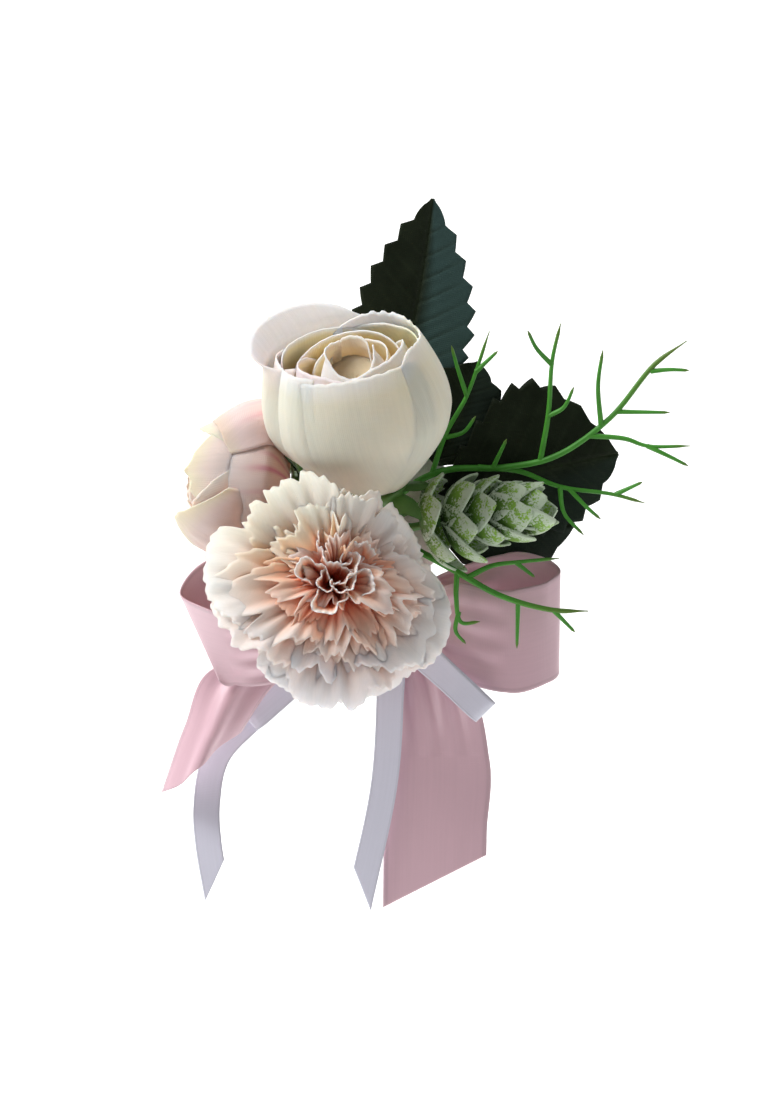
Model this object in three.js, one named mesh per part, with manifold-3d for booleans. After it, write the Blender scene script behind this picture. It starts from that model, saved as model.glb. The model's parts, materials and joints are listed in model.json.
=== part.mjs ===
// Pin-on corsage: a rose bud, a carnation and a pink bud with leaves, a hop cone, fern and two bows.
// Millimetres. +Z is up as worn, the front looks along -Y, and the back of the brooch bar lies at y = 0.
import * as THREE from 'three';
import { mergeVertices } from 'three/addons/utils/BufferGeometryUtils.js';
import Module from 'manifold-3d';

// Working gaps and a full turn in degrees
const GAP = 0.3;
const RUNNING_GAP = 0.15;
const FULL_TURN = 360;

// Main reaches: tip of the upper leaf, tip of the fern, left tail and ends of the hanging tails
const LEAF_TIP_Z = 75;
const FERN_TIP_X = 74.7;
const TAIL_TIP_X = -46;
const TAIL_END_Z = -97;

// Brooch back
const BAR_LENGTH = 32;
const BAR_WIDTH = 5;
const BAR_THICK = 0.8;
const BAR_HOLE_RADIUS = 0.9;
const BAR_HOLE_SPACING = 13;
const PIN_RISE = 4.8;
const PIN_RADIUS = 0.42;
const PIN_TIP_LENGTH = 3;
const HINGE_INSET = 3;
const HINGE_X = HINGE_INSET - BAR_LENGTH / 2;
const CHEEK_THICK = 0.6;
const CHEEK_RADIUS = 1.7;
const EYE_RADIUS = 1.35;
const EYE_THICK = 1.2;
const RIVET_RADIUS = 0.5;
const RIVET_HEAD_RADIUS = 1;
const RIVET_HEAD_THICK = 0.4;
const CATCH_INSET = 4;
const CATCH_X = BAR_LENGTH / 2 - CATCH_INSET;
const CATCH_LENGTH = 3.6;
const CATCH_WALL = 0.7;
const ROLLER_BORE = 0.95;
const ROLLER_WALL = 0.9;
const ROLLER_OVERHANG = 0.3;
const ROLLER_SLOT = 84;
const SLOT_EASE = 4;
const TAB_REACH = 2.2;
const TAB_LENGTH = 2.4;
const TAB_ANGLE = 18;

// Felt pad and taped stem bundle
const PAD_RADIUS = 20;
const PAD_THICK = 2;
const STEM_RADIUS = 1;
const WRAP_WALL = 0.6;
const WRAP_TOP = -8;
const WRAP_LENGTH = 30;
const STEM_END = 2;

// Places of the stems round the bundle, in degrees
const LOW_SLOT = 0;
const SIDE_SLOT = 60;
const UPPER_SLOT = 120;
const BUD_SLOT = 180;
const ROSE_SLOT = 240;
const HOP_SLOT = 300;

// Rose bud
const ROSE_BASE = [1.9, -19, 9.6];
const ROSE_AXIS = [-0.198, -0.317, 0.928];
const ROSE_LENGTH = 38;
const ROSE_BELLY = 20.6;
const ROSE_RIM = 15.5;
const ROSE_FOOT = 6.4;
const ROSE_CALYX = 7;
const ROSE_MIDDLE_TURN = 210;
const ROSE_INNER_TURN = 60;
const BUD_SQUASH = 0.82;

// Pink bud
const BUD_BASE = [-19.4, -15.8, 8];
const BUD_AXIS = [-0.975, -0.1, 0.12];
const BUD_LENGTH = 25;
const BUD_BELLY = 16.6;
const BUD_RIM = 13.5;
const BUD_FOOT = 4.6;
const BUD_CALYX = 6;
const BUD_INNER_TURN = 100;

// Carnation
const CARNATION_HEART = [-10.3, -32, -13.5];
const CARNATION_AXIS = [0.14, -0.935, 0.325];
const CARNATION_RADIUS = 29;
const CARNATION_CALYX = 12;
const CARNATION_CALYX_RADIUS = 5.4;
const CARNATION_LIFT = 0.4;
const CARNATION_CROWN = 0.11;
const CARNATION_CROP = 0.1;

// Petals, leaves and ribbons as sheets
const PETAL_THICK = 0.4;
const OUTER_LAP = 2.2;
const MIDDLE_LAP = 1.5;
const INNER_LAP = 1.2;
const LEAF_THICK = 0.4;
const RIBBON_THICK = 0.4;
const SATIN_WIDTH = 25;
const LILAC_WIDTH = 6.5;

// Hop cone
const HOP_BASE = [10.5, -18.5, -0.6];
const HOP_AXIS = [0.978, -0.063, 0.191];
const HOP_LENGTH = 31;
const HOP_RADIUS = 9.6;
const HOP_WHORLS = 5;
const HOP_LOBES = 5;

// Fern and leaf stalks
const FERN_STALK = 0.9;
const FERN_TWIG = 0.6;
const FERN_TIP = 0.3;
const LEAF_STALK = 0.7;

// Knot of the bows
const KNOT_Z = -23.5;
const KNOT_HALF_HEIGHT = 3.5;
const KNOT_HALF_DEPTH = 1.6;
const KNOT_HALF_WIDTH = 4;
const KNOT_CORNER = 1.2;

// Colours and surfaces
function surface(color, roughness, metalness) {
  return new THREE.MeshStandardMaterial({ color, roughness, metalness });
}

const STEEL = surface('#c9ccd0', 0.3, 1);
const FELT = surface('#f0efec', 0.95, 0);
const TAPE = surface('#5f7f4a', 0.8, 0);
const STEM = surface('#4f7a3a', 0.6, 0);
const CALYX = surface('#4c6b34', 0.65, 0);
const ROSE = surface('#f1e9df', 0.8, 0);
const ROSE_HEART = surface('#e8cfa6', 0.8, 0);
const BUD = surface('#efdcd2', 0.8, 0);
const CARNATION_PALE = surface('#f1e6dc', 0.85, 0);
const CARNATION_CORAL = surface('#e79a80', 0.85, 0);
const LEAF = surface('#222b1d', 0.5, 0);
const HOP = surface('#8fa85c', 0.8, 0);
const FERN = surface('#5aa04a', 0.45, 0);
const SATIN = surface('#e6c6d0', 0.35, 0);
const LILAC = surface('#c9c6da', 0.4, 0);

const wasm = await Module();
wasm.setup();
const corsage = new THREE.Group();
corsage.name = 'corsage';

const vec = (p) => new THREE.Vector3(...p);
const rad = THREE.MathUtils.degToRad;

function add(name, geometry, material, group = corsage) {
  const mesh = new THREE.Mesh(geometry, material);
  mesh.name = name;
  group.add(mesh);
  return mesh;
}

// Joins and cuts of closed solids
function solidOf(geometry) {
  const bare = new THREE.BufferGeometry();
  bare.setAttribute('position', geometry.getAttribute('position').clone());
  if (geometry.index) {
    bare.setIndex(geometry.index.clone());
  }
  const merged = mergeVertices(bare, 1e-3);
  const triVerts = new Uint32Array(merged.index.array);
  const vertProperties = merged.attributes.position.array;
  return new wasm.Manifold(new wasm.Mesh({ numProp: 3, vertProperties, triVerts }));
}

function geometryOf(solid) {
  const mesh = solid.getMesh();
  const geometry = new THREE.BufferGeometry();
  geometry.setAttribute('position', new THREE.BufferAttribute(new Float32Array(mesh.vertProperties), 3));
  geometry.setIndex(new THREE.BufferAttribute(new Uint32Array(mesh.triVerts), 1));
  geometry.computeVertexNormals();
  return geometry;
}

function join(...geometries) {
  return geometryOf(geometries.map(solidOf).reduce((whole, piece) => whole.add(piece)));
}

// A turned body about +Z from a profile of [radius, height] points
function turned(profile, segments) {
  const points = profile.map(([r, h]) => new THREE.Vector2(r, h));
  return new THREE.LatheGeometry(points, segments).rotateX(Math.PI / 2);
}

// A sheet of even thickness: point(u, v) with u and v from 0 to 1, or a ring of it when u goes all round
function sheet(point, across, along, thickness, ring = false) {
  const columns = ring ? across : across + 1;
  const positions = [];
  const index = [];
  const column = (i) => (ring ? (i + across) % across : THREE.MathUtils.clamp(i, 0, across));
  const at = (i, j) => point(column(i) / across, THREE.MathUtils.clamp(j, 0, along) / along);
  for (const side of [0.5, -0.5]) {
    for (let j = 0; j <= along; j++) {
      for (let i = 0; i < columns; i++) {
        const du = at(i + 1, j).sub(at(i - 1, j));
        const dv = at(i, j + 1).sub(at(i, j - 1));
        const normal = du.cross(dv).normalize();
        positions.push(...at(i, j).addScaledVector(normal, side * thickness).toArray());
      }
    }
  }
  const layer = columns * (along + 1);
  const front = (i, j) => j * columns + (i % columns);
  const back = (i, j) => layer + front(i, j);
  const quad = (a, b, c, d) => index.push(a, b, c, a, c, d);
  for (let j = 0; j < along; j++) {
    for (let i = 0; i < across; i++) {
      quad(front(i, j), front(i + 1, j), front(i + 1, j + 1), front(i, j + 1));
      quad(back(i, j), back(i, j + 1), back(i + 1, j + 1), back(i + 1, j));
    }
  }
  for (let i = 0; i < across; i++) {
    quad(front(i, 0), back(i, 0), back(i + 1, 0), front(i + 1, 0));
    quad(front(i + 1, along), back(i + 1, along), back(i, along), front(i, along));
  }
  for (let j = 0; !ring && j < along; j++) {
    quad(front(0, j + 1), back(0, j + 1), back(0, j), front(0, j));
    quad(front(across, j), back(across, j), back(across, j + 1), front(across, j + 1));
  }
  const geometry = new THREE.BufferGeometry();
  geometry.setAttribute('position', new THREE.Float32BufferAttribute(positions, 3));
  geometry.setIndex(index);
  geometry.computeVertexNormals();
  return geometry;
}

// A round rod through a list of centres, tapering from one radius to the other
function rod(centres, rootRadius, tipRadius, sides) {
  const last = centres.length - 1;
  const positions = [];
  const index = [];
  const along = (k) => centres[Math.min(last, k + 1)].clone().sub(centres[Math.max(0, k - 1)]).normalize();
  const first = along(0);
  const spare = Math.abs(first.z) < 0.9 ? vec([0, 0, 1]) : vec([1, 0, 0]);
  let normal = spare.cross(first).normalize();
  centres.forEach((centre, k) => {
    const tangent = along(k);
    normal = normal.clone().addScaledVector(tangent, -normal.dot(tangent)).normalize();
    const other = tangent.clone().cross(normal);
    const radius = THREE.MathUtils.lerp(rootRadius, tipRadius, k / last);
    for (let s = 0; s < sides; s++) {
      const angle = (2 * Math.PI * s) / sides;
      const ringPoint = centre.clone().addScaledVector(normal, radius * Math.cos(angle));
      positions.push(...ringPoint.addScaledVector(other, radius * Math.sin(angle)).toArray());
    }
  });
  const ring = (k, s) => k * sides + (s % sides);
  for (let k = 0; k < last; k++) {
    for (let s = 0; s < sides; s++) {
      index.push(ring(k, s), ring(k, s + 1), ring(k + 1, s + 1));
      index.push(ring(k, s), ring(k + 1, s + 1), ring(k + 1, s));
    }
  }
  for (let s = 1; s < sides - 1; s++) {
    index.push(ring(0, 0), ring(0, s + 1), ring(0, s));
    index.push(ring(last, 0), ring(last, s), ring(last, s + 1));
  }
  const geometry = new THREE.BufferGeometry();
  geometry.setAttribute('position', new THREE.Float32BufferAttribute(positions, 3));
  geometry.setIndex(index);
  return geometry;
}

const smooth = (points, steps) => new THREE.CatmullRomCurve3(points.map(vec)).getPoints(steps);

// A group whose +Z runs along an axis, with its +X kept level to the right
function standing(origin, axis) {
  const group = new THREE.Group();
  const up = vec(axis).normalize();
  const right = vec([1, 0, 0]).addScaledVector(up, -up.x).normalize();
  const level = Math.abs(up.x) > 0.9 ? vec([0, 0, 1]).addScaledVector(up, -up.z).normalize() : right;
  const back = up.clone().cross(level);
  group.quaternion.setFromRotationMatrix(new THREE.Matrix4().makeBasis(level, back, up));
  group.position.copy(vec(origin));
  corsage.add(group);
  return group;
}

function onAxis(origin, axis, distance) {
  return vec(origin).addScaledVector(vec(axis).normalize(), distance).toArray();
}

// A flat plate of an outline, drawn in X and Y and raised along Z
function plate(outline, depth, curveSegments = 8) {
  return new THREE.ExtrudeGeometry(outline, { depth, bevelEnabled: false, curveSegments });
}

// Brooch back: bar, hinge cheeks and catch housing in one stamping, with the rivet, needle and turning catch
const inBarPlane = new THREE.Matrix4().makeBasis(vec([1, 0, 0]), vec([0, 0, 1]), vec([0, -1, 0]));
const acrossBar = new THREE.Matrix4().makeBasis(vec([0, 1, 0]), vec([0, 0, 1]), vec([1, 0, 0]));

const ROLLER_OUTER = ROLLER_BORE + ROLLER_WALL;
const HOUSING_INNER = ROLLER_OUTER + RUNNING_GAP;
const HOUSING_OUTER = HOUSING_INNER + CATCH_WALL;
const TAB_FROM = ROLLER_SLOT / 2 + SLOT_EASE / 2;
const HOUSING_FROM = TAB_FROM + TAB_ANGLE + SLOT_EASE;
const HOUSING_TO = FULL_TURN - ROLLER_SLOT / 2 - SLOT_EASE;

function slottedRing(outer, inner, from, to, length) {
  const shape = new THREE.Shape();
  shape.absarc(0, 0, outer, rad(from), rad(to), false);
  shape.absarc(0, 0, inner, rad(to), rad(from), true);
  shape.closePath();
  return plate(shape, length, 10).translate(0, 0, -length / 2);
}

function broochBar() {
  const outline = new THREE.Shape();
  const reach = BAR_LENGTH / 2 - BAR_WIDTH / 2;
  outline.absarc(reach, 0, BAR_WIDTH / 2, -Math.PI / 2, Math.PI / 2, false);
  outline.absarc(-reach, 0, BAR_WIDTH / 2, Math.PI / 2, Math.PI * 1.5, false);
  for (const side of [-1, 1]) {
    const hole = new THREE.Path();
    hole.absarc((side * BAR_HOLE_SPACING) / 2, 0, BAR_HOLE_RADIUS, 0, 2 * Math.PI, true);
    outline.holes.push(hole);
  }
  const bar = plate(outline, BAR_THICK).applyMatrix4(inBarPlane);
  const cheek = new THREE.Shape();
  cheek.moveTo(HINGE_X - CHEEK_RADIUS, -BAR_THICK / 2);
  cheek.lineTo(HINGE_X + CHEEK_RADIUS, -BAR_THICK / 2);
  cheek.absarc(HINGE_X, PIN_RISE, CHEEK_RADIUS, 0, Math.PI, false);
  cheek.closePath();
  const bore = new THREE.Path();
  bore.absarc(HINGE_X, PIN_RISE, RIVET_RADIUS + RUNNING_GAP, 0, 2 * Math.PI, true);
  cheek.holes.push(bore);
  const cheeks = [-1, 1].map((side) => {
    const inner = EYE_THICK / 2 + GAP;
    return plate(cheek, CHEEK_THICK).translate(0, 0, side > 0 ? inner : -inner - CHEEK_THICK);
  });
  const housing = slottedRing(HOUSING_OUTER, HOUSING_INNER, HOUSING_FROM, HOUSING_TO, CATCH_LENGTH);
  housing.applyMatrix4(acrossBar).translate(CATCH_X, PIN_RISE, 0);
  const footTop = PIN_RISE - (HOUSING_INNER + HOUSING_OUTER) / 2;
  const foot = new THREE.BoxGeometry(CATCH_LENGTH, footTop + BAR_THICK / 2, BAR_WIDTH / 3);
  foot.translate(CATCH_X, (footTop - BAR_THICK / 2) / 2, 0);
  return join(bar, ...cheeks, housing, foot);
}

function catchRoller() {
  const length = CATCH_LENGTH + 2 * ROLLER_OVERHANG;
  const sleeve = slottedRing(ROLLER_OUTER, ROLLER_BORE, ROLLER_SLOT / 2, FULL_TURN - ROLLER_SLOT / 2, length);
  const tabInner = ROLLER_OUTER - ROLLER_WALL / 2;
  const tabOuter = ROLLER_OUTER + TAB_REACH;
  const tab = slottedRing(tabOuter, tabInner, TAB_FROM, TAB_FROM + TAB_ANGLE, TAB_LENGTH);
  return join(sleeve, tab).applyMatrix4(acrossBar).translate(CATCH_X, PIN_RISE, 0);
}

function pinStem() {
  const eyeShape = new THREE.Shape();
  eyeShape.absarc(0, 0, EYE_RADIUS, 0, 2 * Math.PI, false);
  const hole = new THREE.Path();
  hole.absarc(0, 0, RIVET_RADIUS + RUNNING_GAP, 0, 2 * Math.PI, true);
  eyeShape.holes.push(hole);
  const eye = plate(eyeShape, EYE_THICK).translate(0, 0, -EYE_THICK / 2);
  const tip = BAR_LENGTH / 2 - HINGE_X;
  const start = (EYE_RADIUS + RIVET_RADIUS + RUNNING_GAP) / 2;
  const shank = turned([[0, start], [PIN_RADIUS, start], [PIN_RADIUS, tip - PIN_TIP_LENGTH], [0, tip]], 10);
  shank.rotateY(Math.PI / 2);
  return join(eye, shank).translate(HINGE_X, PIN_RISE, 0);
}

function hingeRivet() {
  const neck = EYE_THICK / 2 + GAP + CHEEK_THICK + RUNNING_GAP;
  const end = neck + RIVET_HEAD_THICK;
  const rivet = turned([
    [0, -end], [RIVET_HEAD_RADIUS, -end], [RIVET_HEAD_RADIUS, -neck], [RIVET_RADIUS, -neck],
    [RIVET_RADIUS, neck], [RIVET_HEAD_RADIUS, neck], [RIVET_HEAD_RADIUS, end], [0, end],
  ], 16);
  return rivet.translate(HINGE_X, PIN_RISE, 0);
}

add('brooch_bar', broochBar(), STEEL);
add('hinge_rivet', hingeRivet(), STEEL);
add('pin_stem', pinStem(), STEEL);
add('catch_roller', catchRoller(), STEEL);

// Felt pad in front of the bar
const PAD_BACK = -BAR_THICK - GAP;
const PAD_FRONT = PAD_BACK - PAD_THICK;
const pad = new THREE.CylinderGeometry(PAD_RADIUS, PAD_RADIUS, PAD_THICK, 40);
add('felt_pad', pad.translate(0, PAD_BACK - PAD_THICK / 2, 0), FELT);

// Taped bundle: six stems round one, inside a sleeve of wound tape
const BUNDLE_RING = 2 * STEM_RADIUS + GAP;
const WRAP_BORE = BUNDLE_RING + STEM_RADIUS + GAP;
const WRAP_RADIUS = WRAP_BORE + WRAP_WALL;
const BUNDLE_Y = PAD_FRONT - GAP - WRAP_RADIUS;
const WRAP_BOTTOM = WRAP_TOP - WRAP_LENGTH;
const wrap = turned([
  [WRAP_BORE, WRAP_BOTTOM], [WRAP_RADIUS, WRAP_BOTTOM], [WRAP_RADIUS, WRAP_TOP], [WRAP_BORE, WRAP_TOP],
  [WRAP_BORE, WRAP_BOTTOM],
], 24);
add('tape_wrap', wrap.translate(0, BUNDLE_Y, 0), TAPE);

function slot(angle) {
  if (angle === null) {
    return [0, BUNDLE_Y];
  }
  return [BUNDLE_RING * Math.cos(rad(angle)), BUNDLE_Y + BUNDLE_RING * Math.sin(rad(angle))];
}

// Centres of a stem: straight through the wrap, then smoothly through the points above it
function stemCentres(angle, points, steps) {
  const [x, y] = slot(angle);
  const rise = smooth([[x, y, WRAP_TOP], ...points], steps);
  return [vec([x, y, WRAP_BOTTOM - STEM_END]), ...rise];
}

// Bud flowers: petals lie on an egg-shaped form and lap over one another
const BELLY_AT = 0.55;

function eggRadius(t, foot, belly, rim) {
  if (t < BELLY_AT) {
    return foot + (belly - foot) * Math.sin((t / BELLY_AT) * (Math.PI / 2));
  }
  const s = (t - BELLY_AT) / (1 - BELLY_AT);
  return belly - (belly - rim) * s * s;
}

function petal(shape) {
  const { length, foot, belly, rim, start, corner, flare, rise = 0 } = shape;
  const { turn, span, pitch, lapFrom, lapTo } = shape;
  const form = (u, v) => {
    const s = 2 * u - 1;
    const lean = s * (span / 2) * (0.72 + 0.28 * Math.sin((v * Math.PI) / 2));
    const top = length * (1 - corner * Math.abs(s) ** 3) + rise;
    const h = start + (top - start) * v;
    const egg = eggRadius(Math.min(1, h / length), foot, belly, rim);
    const lap = ((lean < 0 ? lapFrom : lapTo) * Math.abs(lean)) / pitch;
    const radius = egg + lap + flare * v ** 5;
    const angle = rad(turn + lean);
    return vec([radius * Math.cos(angle), BUD_SQUASH * radius * Math.sin(angle), h]);
  };
  return sheet(form, 6, 4, PETAL_THICK);
}

// A ring of petals on one form: each has its place and whatever sets it apart
function petalRing(name, petals, shape, material, group) {
  petals.forEach((own, k) => add(`${name}_${k + 1}`, petal({ ...shape, ...own }), material, group));
}

function evenly(count, turn) {
  return Array.from({ length: count }, (_, k) => ({ turn: turn + (k * FULL_TURN) / count }));
}

// A calyx cup with sepals that lie under the petals
const SEPAL_HALF = 2.4;
const SEPAL_TURN = 0.3;
const SEPAL_DROP = 1.7;
const CALYX_RIM = 1.6;

function calyx(foot, length, sepals, reach) {
  const lip = foot * 0.9;
  const waist = foot * 0.62;
  const cup = turned([
    [0, -length], [STEM_RADIUS * 1.8, -length], [waist, -length * 0.55],
    [lip, -CALYX_RIM], [lip, -GAP], [0, -GAP],
  ], 16);
  const blades = [];
  for (let k = 0; k < sepals; k++) {
    const turn = (k * 2 * Math.PI) / sepals + SEPAL_TURN;
    const blade = (u, v) => {
      const out = waist + reach * v;
      const half = SEPAL_HALF * Math.sin(Math.PI * (0.25 + 0.7 * v)) + 0.2;
      const side = (2 * u - 1) * half;
      const h = CALYX_RIM * v * v - SEPAL_DROP - 0.12 * side * side;
      const x = out * Math.cos(turn) - side * Math.sin(turn);
      const y = out * Math.sin(turn) + side * Math.cos(turn);
      return vec([x, BUD_SQUASH * y, h]);
    };
    blades.push(sheet(blade, 2, 4, PETAL_THICK));
  }
  return join(cup, ...blades);
}

const rose = standing(ROSE_BASE, ROSE_AXIS);
add('rose_calyx', calyx(ROSE_FOOT, ROSE_CALYX, 5, 8.5), CALYX, rose);
const roseOuter = {
  length: ROSE_LENGTH, foot: ROSE_FOOT, belly: ROSE_BELLY, rim: ROSE_RIM, pitch: FULL_TURN / 5,
  span: 110, start: 0.7, corner: 0.2, lapFrom: OUTER_LAP, lapTo: -OUTER_LAP, flare: 1.2,
};
// Front petal tucked under its neighbours, then round by the right to the open flap at the back left
const ROSE_OUTER_PETALS = [
  { turn: 255, span: 120, rise: -1.5, corner: 0.05, flare: 0.6, lapFrom: -1.4, lapTo: -1.4 },
  { turn: 338 },
  { turn: 50, rise: 1 },
  { turn: 136, span: 116, rise: 4.2, flare: 3.9, lapTo: OUTER_LAP },
  { turn: 196, lapFrom: -OUTER_LAP, lapTo: OUTER_LAP },
];
petalRing('rose_outer_petal', ROSE_OUTER_PETALS, roseOuter, ROSE, rose);
const roseMiddle = {
  length: ROSE_LENGTH * 0.95, foot: 4, belly: ROSE_BELLY * 0.74, rim: ROSE_RIM * 0.74, pitch: FULL_TURN / 3,
  span: 170, start: 3, corner: 0.16, lapFrom: -MIDDLE_LAP, lapTo: MIDDLE_LAP, flare: 0,
};
petalRing('rose_middle_petal', evenly(3, ROSE_MIDDLE_TURN), roseMiddle, ROSE, rose);
const roseInner = {
  length: ROSE_LENGTH * 0.93, foot: 3.2, belly: ROSE_BELLY * 0.52, rim: ROSE_RIM * 0.54, pitch: FULL_TURN / 2,
  span: 200, start: 5, corner: 0.12, lapFrom: -INNER_LAP, lapTo: INNER_LAP, flare: 0,
};
petalRing('rose_inner_petal', evenly(2, ROSE_INNER_TURN), roseInner, ROSE_HEART, rose);
const coreRim = ROSE_LENGTH * 0.88;
const coreCup = ROSE_LENGTH * 0.7;
const roseCore = turned([
  [0, 0], [2.8, 0], [3.4, 5], [5.2, 14], [5, coreRim], [4.4, coreRim], [3.8, coreCup + 1.5], [0, coreCup],
], 14);
add('rose_core', roseCore.scale(1, BUD_SQUASH, 1), ROSE_HEART, rose);
const roseFoot = onAxis(ROSE_BASE, ROSE_AXIS, -ROSE_CALYX - GAP);
const roseNeck = onAxis(ROSE_BASE, ROSE_AXIS, -ROSE_CALYX - 3);
const [roseX, roseY] = slot(ROSE_SLOT);
const roseStem = stemCentres(ROSE_SLOT, [[roseX + 0.2, roseY - 1.4, WRAP_TOP + 3], roseNeck, roseFoot], 7);
add('rose_stem', rod(roseStem, STEM_RADIUS, STEM_RADIUS, 8), STEM);

const bud = standing(BUD_BASE, BUD_AXIS);
add('bud_calyx', calyx(BUD_FOOT, BUD_CALYX, 4, 6), CALYX, bud);
const budOuter = {
  length: BUD_LENGTH, foot: BUD_FOOT, belly: BUD_BELLY, rim: BUD_RIM, pitch: FULL_TURN / 4,
  span: 130, start: 0.7, corner: 0.2, lapFrom: -OUTER_LAP, lapTo: OUTER_LAP, flare: 0.8,
};
const BUD_OUTER_PETALS = [{ turn: 20, rise: -2.5 }, { turn: 110 }, { turn: 200 }, { turn: 290 }];
petalRing('bud_outer_petal', BUD_OUTER_PETALS, budOuter, BUD, bud);
const budInner = {
  length: BUD_LENGTH * 0.96, foot: 2.8, belly: BUD_BELLY * 0.62, rim: BUD_RIM * 0.6, pitch: FULL_TURN / 2,
  span: 200, start: 3, corner: 0.14, lapFrom: -INNER_LAP, lapTo: INNER_LAP, flare: 0,
};
petalRing('bud_inner_petal', evenly(2, BUD_INNER_TURN), budInner, BUD, bud);
const budCore = turned([
  [0, 0], [1.6, 0], [1.6, 4], [4.2, 10], [4.6, BUD_LENGTH * 0.84], [0, BUD_LENGTH * 0.9],
], 14);
add('bud_core', budCore.scale(1, BUD_SQUASH, 1), BUD, bud);
const budFoot = onAxis(BUD_BASE, BUD_AXIS, -BUD_CALYX - GAP);
const budNeck = onAxis(BUD_BASE, BUD_AXIS, -BUD_CALYX - 3.5);
const [budX, budY] = slot(BUD_SLOT);
const budStem = stemCentres(BUD_SLOT, [[budX - 1.2, budY - 0.4, WRAP_TOP + 4], budNeck, budFoot], 8);
add('bud_stem', rod(budStem, STEM_RADIUS, STEM_RADIUS, 8), STEM);

// Carnation: ruffled discs that open in turn from the heart outwards
const carnation = standing(CARNATION_HEART, CARNATION_AXIS);
const RUFFLES = [
  { open: 12, size: 0.8, waves: 5, swing: 5, around: 20, material: CARNATION_CORAL },
  { open: 31, size: 0.88, waves: 6, swing: 7, around: 24, material: CARNATION_CORAL },
  { open: 50, size: 0.95, waves: 7, swing: 7, around: 28, material: CARNATION_CORAL },
  { open: 69, size: 1, waves: 8, swing: 7, around: 32, material: CARNATION_PALE },
  { open: 88, size: 1, waves: 9, swing: 6, around: 36, material: CARNATION_PALE },
];
const RUFFLE_INNER = 3.6;
RUFFLES.forEach(({ open, size, waves, swing, around, material }, k) => {
  const rimRadius = CARNATION_RADIUS * size;
  const ruffle = (u, v) => {
    const angle = -2 * Math.PI * u;
    const lift = 1 - CARNATION_LIFT * Math.max(0, Math.sin(angle)) ** 1.5;
    const crown = CARNATION_CROWN * Math.max(0, Math.sin(angle)) ** 2;
    const crop = CARNATION_CROP * Math.max(0, Math.cos(angle + rad(125))) ** 2;
    const edge = rimRadius * (1 + crown - crop) * (1 - 0.05 * Math.cos(2 * waves * angle));
    const reach = RUFFLE_INNER + (edge - RUFFLE_INNER) * v;
    const tilt = rad(lift * (open + swing * v ** 2 * Math.sin(waves * angle + k)));
    const out = reach * Math.sin(tilt);
    return vec([out * Math.cos(angle), out * Math.sin(angle), reach * Math.cos(tilt)]);
  };
  add(`carnation_ruffle_${k + 1}`, sheet(ruffle, around, 3, PETAL_THICK, true), material, carnation);
});
const carnationCalyx = turned([
  [0, -CARNATION_CALYX], [2.4, -CARNATION_CALYX], [CARNATION_CALYX_RADIUS * 0.8, -CARNATION_CALYX * 0.6],
  [CARNATION_CALYX_RADIUS, -1.2], [CARNATION_CALYX_RADIUS * 0.9, -PETAL_THICK], [0, -PETAL_THICK],
], 16);
add('carnation_calyx', carnationCalyx, CALYX, carnation);
const sideOfWrap = (angle, z) => {
  const reach = WRAP_RADIUS + 2 * GAP + STEM_RADIUS;
  return [reach * Math.cos(rad(angle)), BUNDLE_Y + reach * Math.sin(rad(angle)), z];
};
const carnationFoot = onAxis(CARNATION_HEART, CARNATION_AXIS, -CARNATION_CALYX - GAP);
const carnationNeck = onAxis(CARNATION_HEART, CARNATION_AXIS, -CARNATION_CALYX - 3);
const carnationStem = smooth([carnationFoot, carnationNeck, sideOfWrap(200, -14), sideOfWrap(200, -10)], 10);
add('carnation_stem', rod(carnationStem, STEM_RADIUS, STEM_RADIUS, 8), STEM);

// Hop cone: lobed whorls threaded on the stem, each set half a lobe round from the last
const hop = standing(HOP_BASE, HOP_AXIS);
const HOP_COLLAR = STEM_RADIUS + GAP;
for (let k = 0; k < HOP_WHORLS; k++) {
  const along = k / (HOP_WHORLS - 1);
  const seat = 2.5 + along * (HOP_LENGTH - 12);
  const widest = HOP_RADIUS * (0.8 + 0.25 * Math.sin(Math.PI * (0.2 + 0.8 * along))) - 2.2 * along;
  const bracts = (u, v) => {
    const angle = -2 * Math.PI * u;
    const lobe = Math.abs(Math.cos((HOP_LOBES * angle) / 2 + (k * Math.PI) / 2));
    const reach = v * (0.42 + 0.58 * Math.sqrt(lobe));
    const out = HOP_COLLAR + 0.4 + (widest - HOP_COLLAR) * Math.sin((reach * Math.PI) / 2);
    return vec([out * Math.cos(angle), out * Math.sin(angle), seat + 11 * reach ** 1.6]);
  };
  add(`hop_whorl_${k + 1}`, sheet(bracts, 20, 3, PETAL_THICK, true), HOP, hop);
}
const [hopX, hopY] = slot(HOP_SLOT);
const hopFoot = onAxis(HOP_BASE, HOP_AXIS, -1);
const hopTip = onAxis(HOP_BASE, HOP_AXIS, HOP_LENGTH - 4);
const hopRise = stemCentres(HOP_SLOT, [[hopX + 1, hopY - 1, WRAP_TOP + 3.2], [5.6, -15, -1.8], hopFoot], 7);
add('hop_stem', rod([...hopRise, vec(hopTip)], STEM_RADIUS, STEM_RADIUS, 8), STEM);

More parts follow.
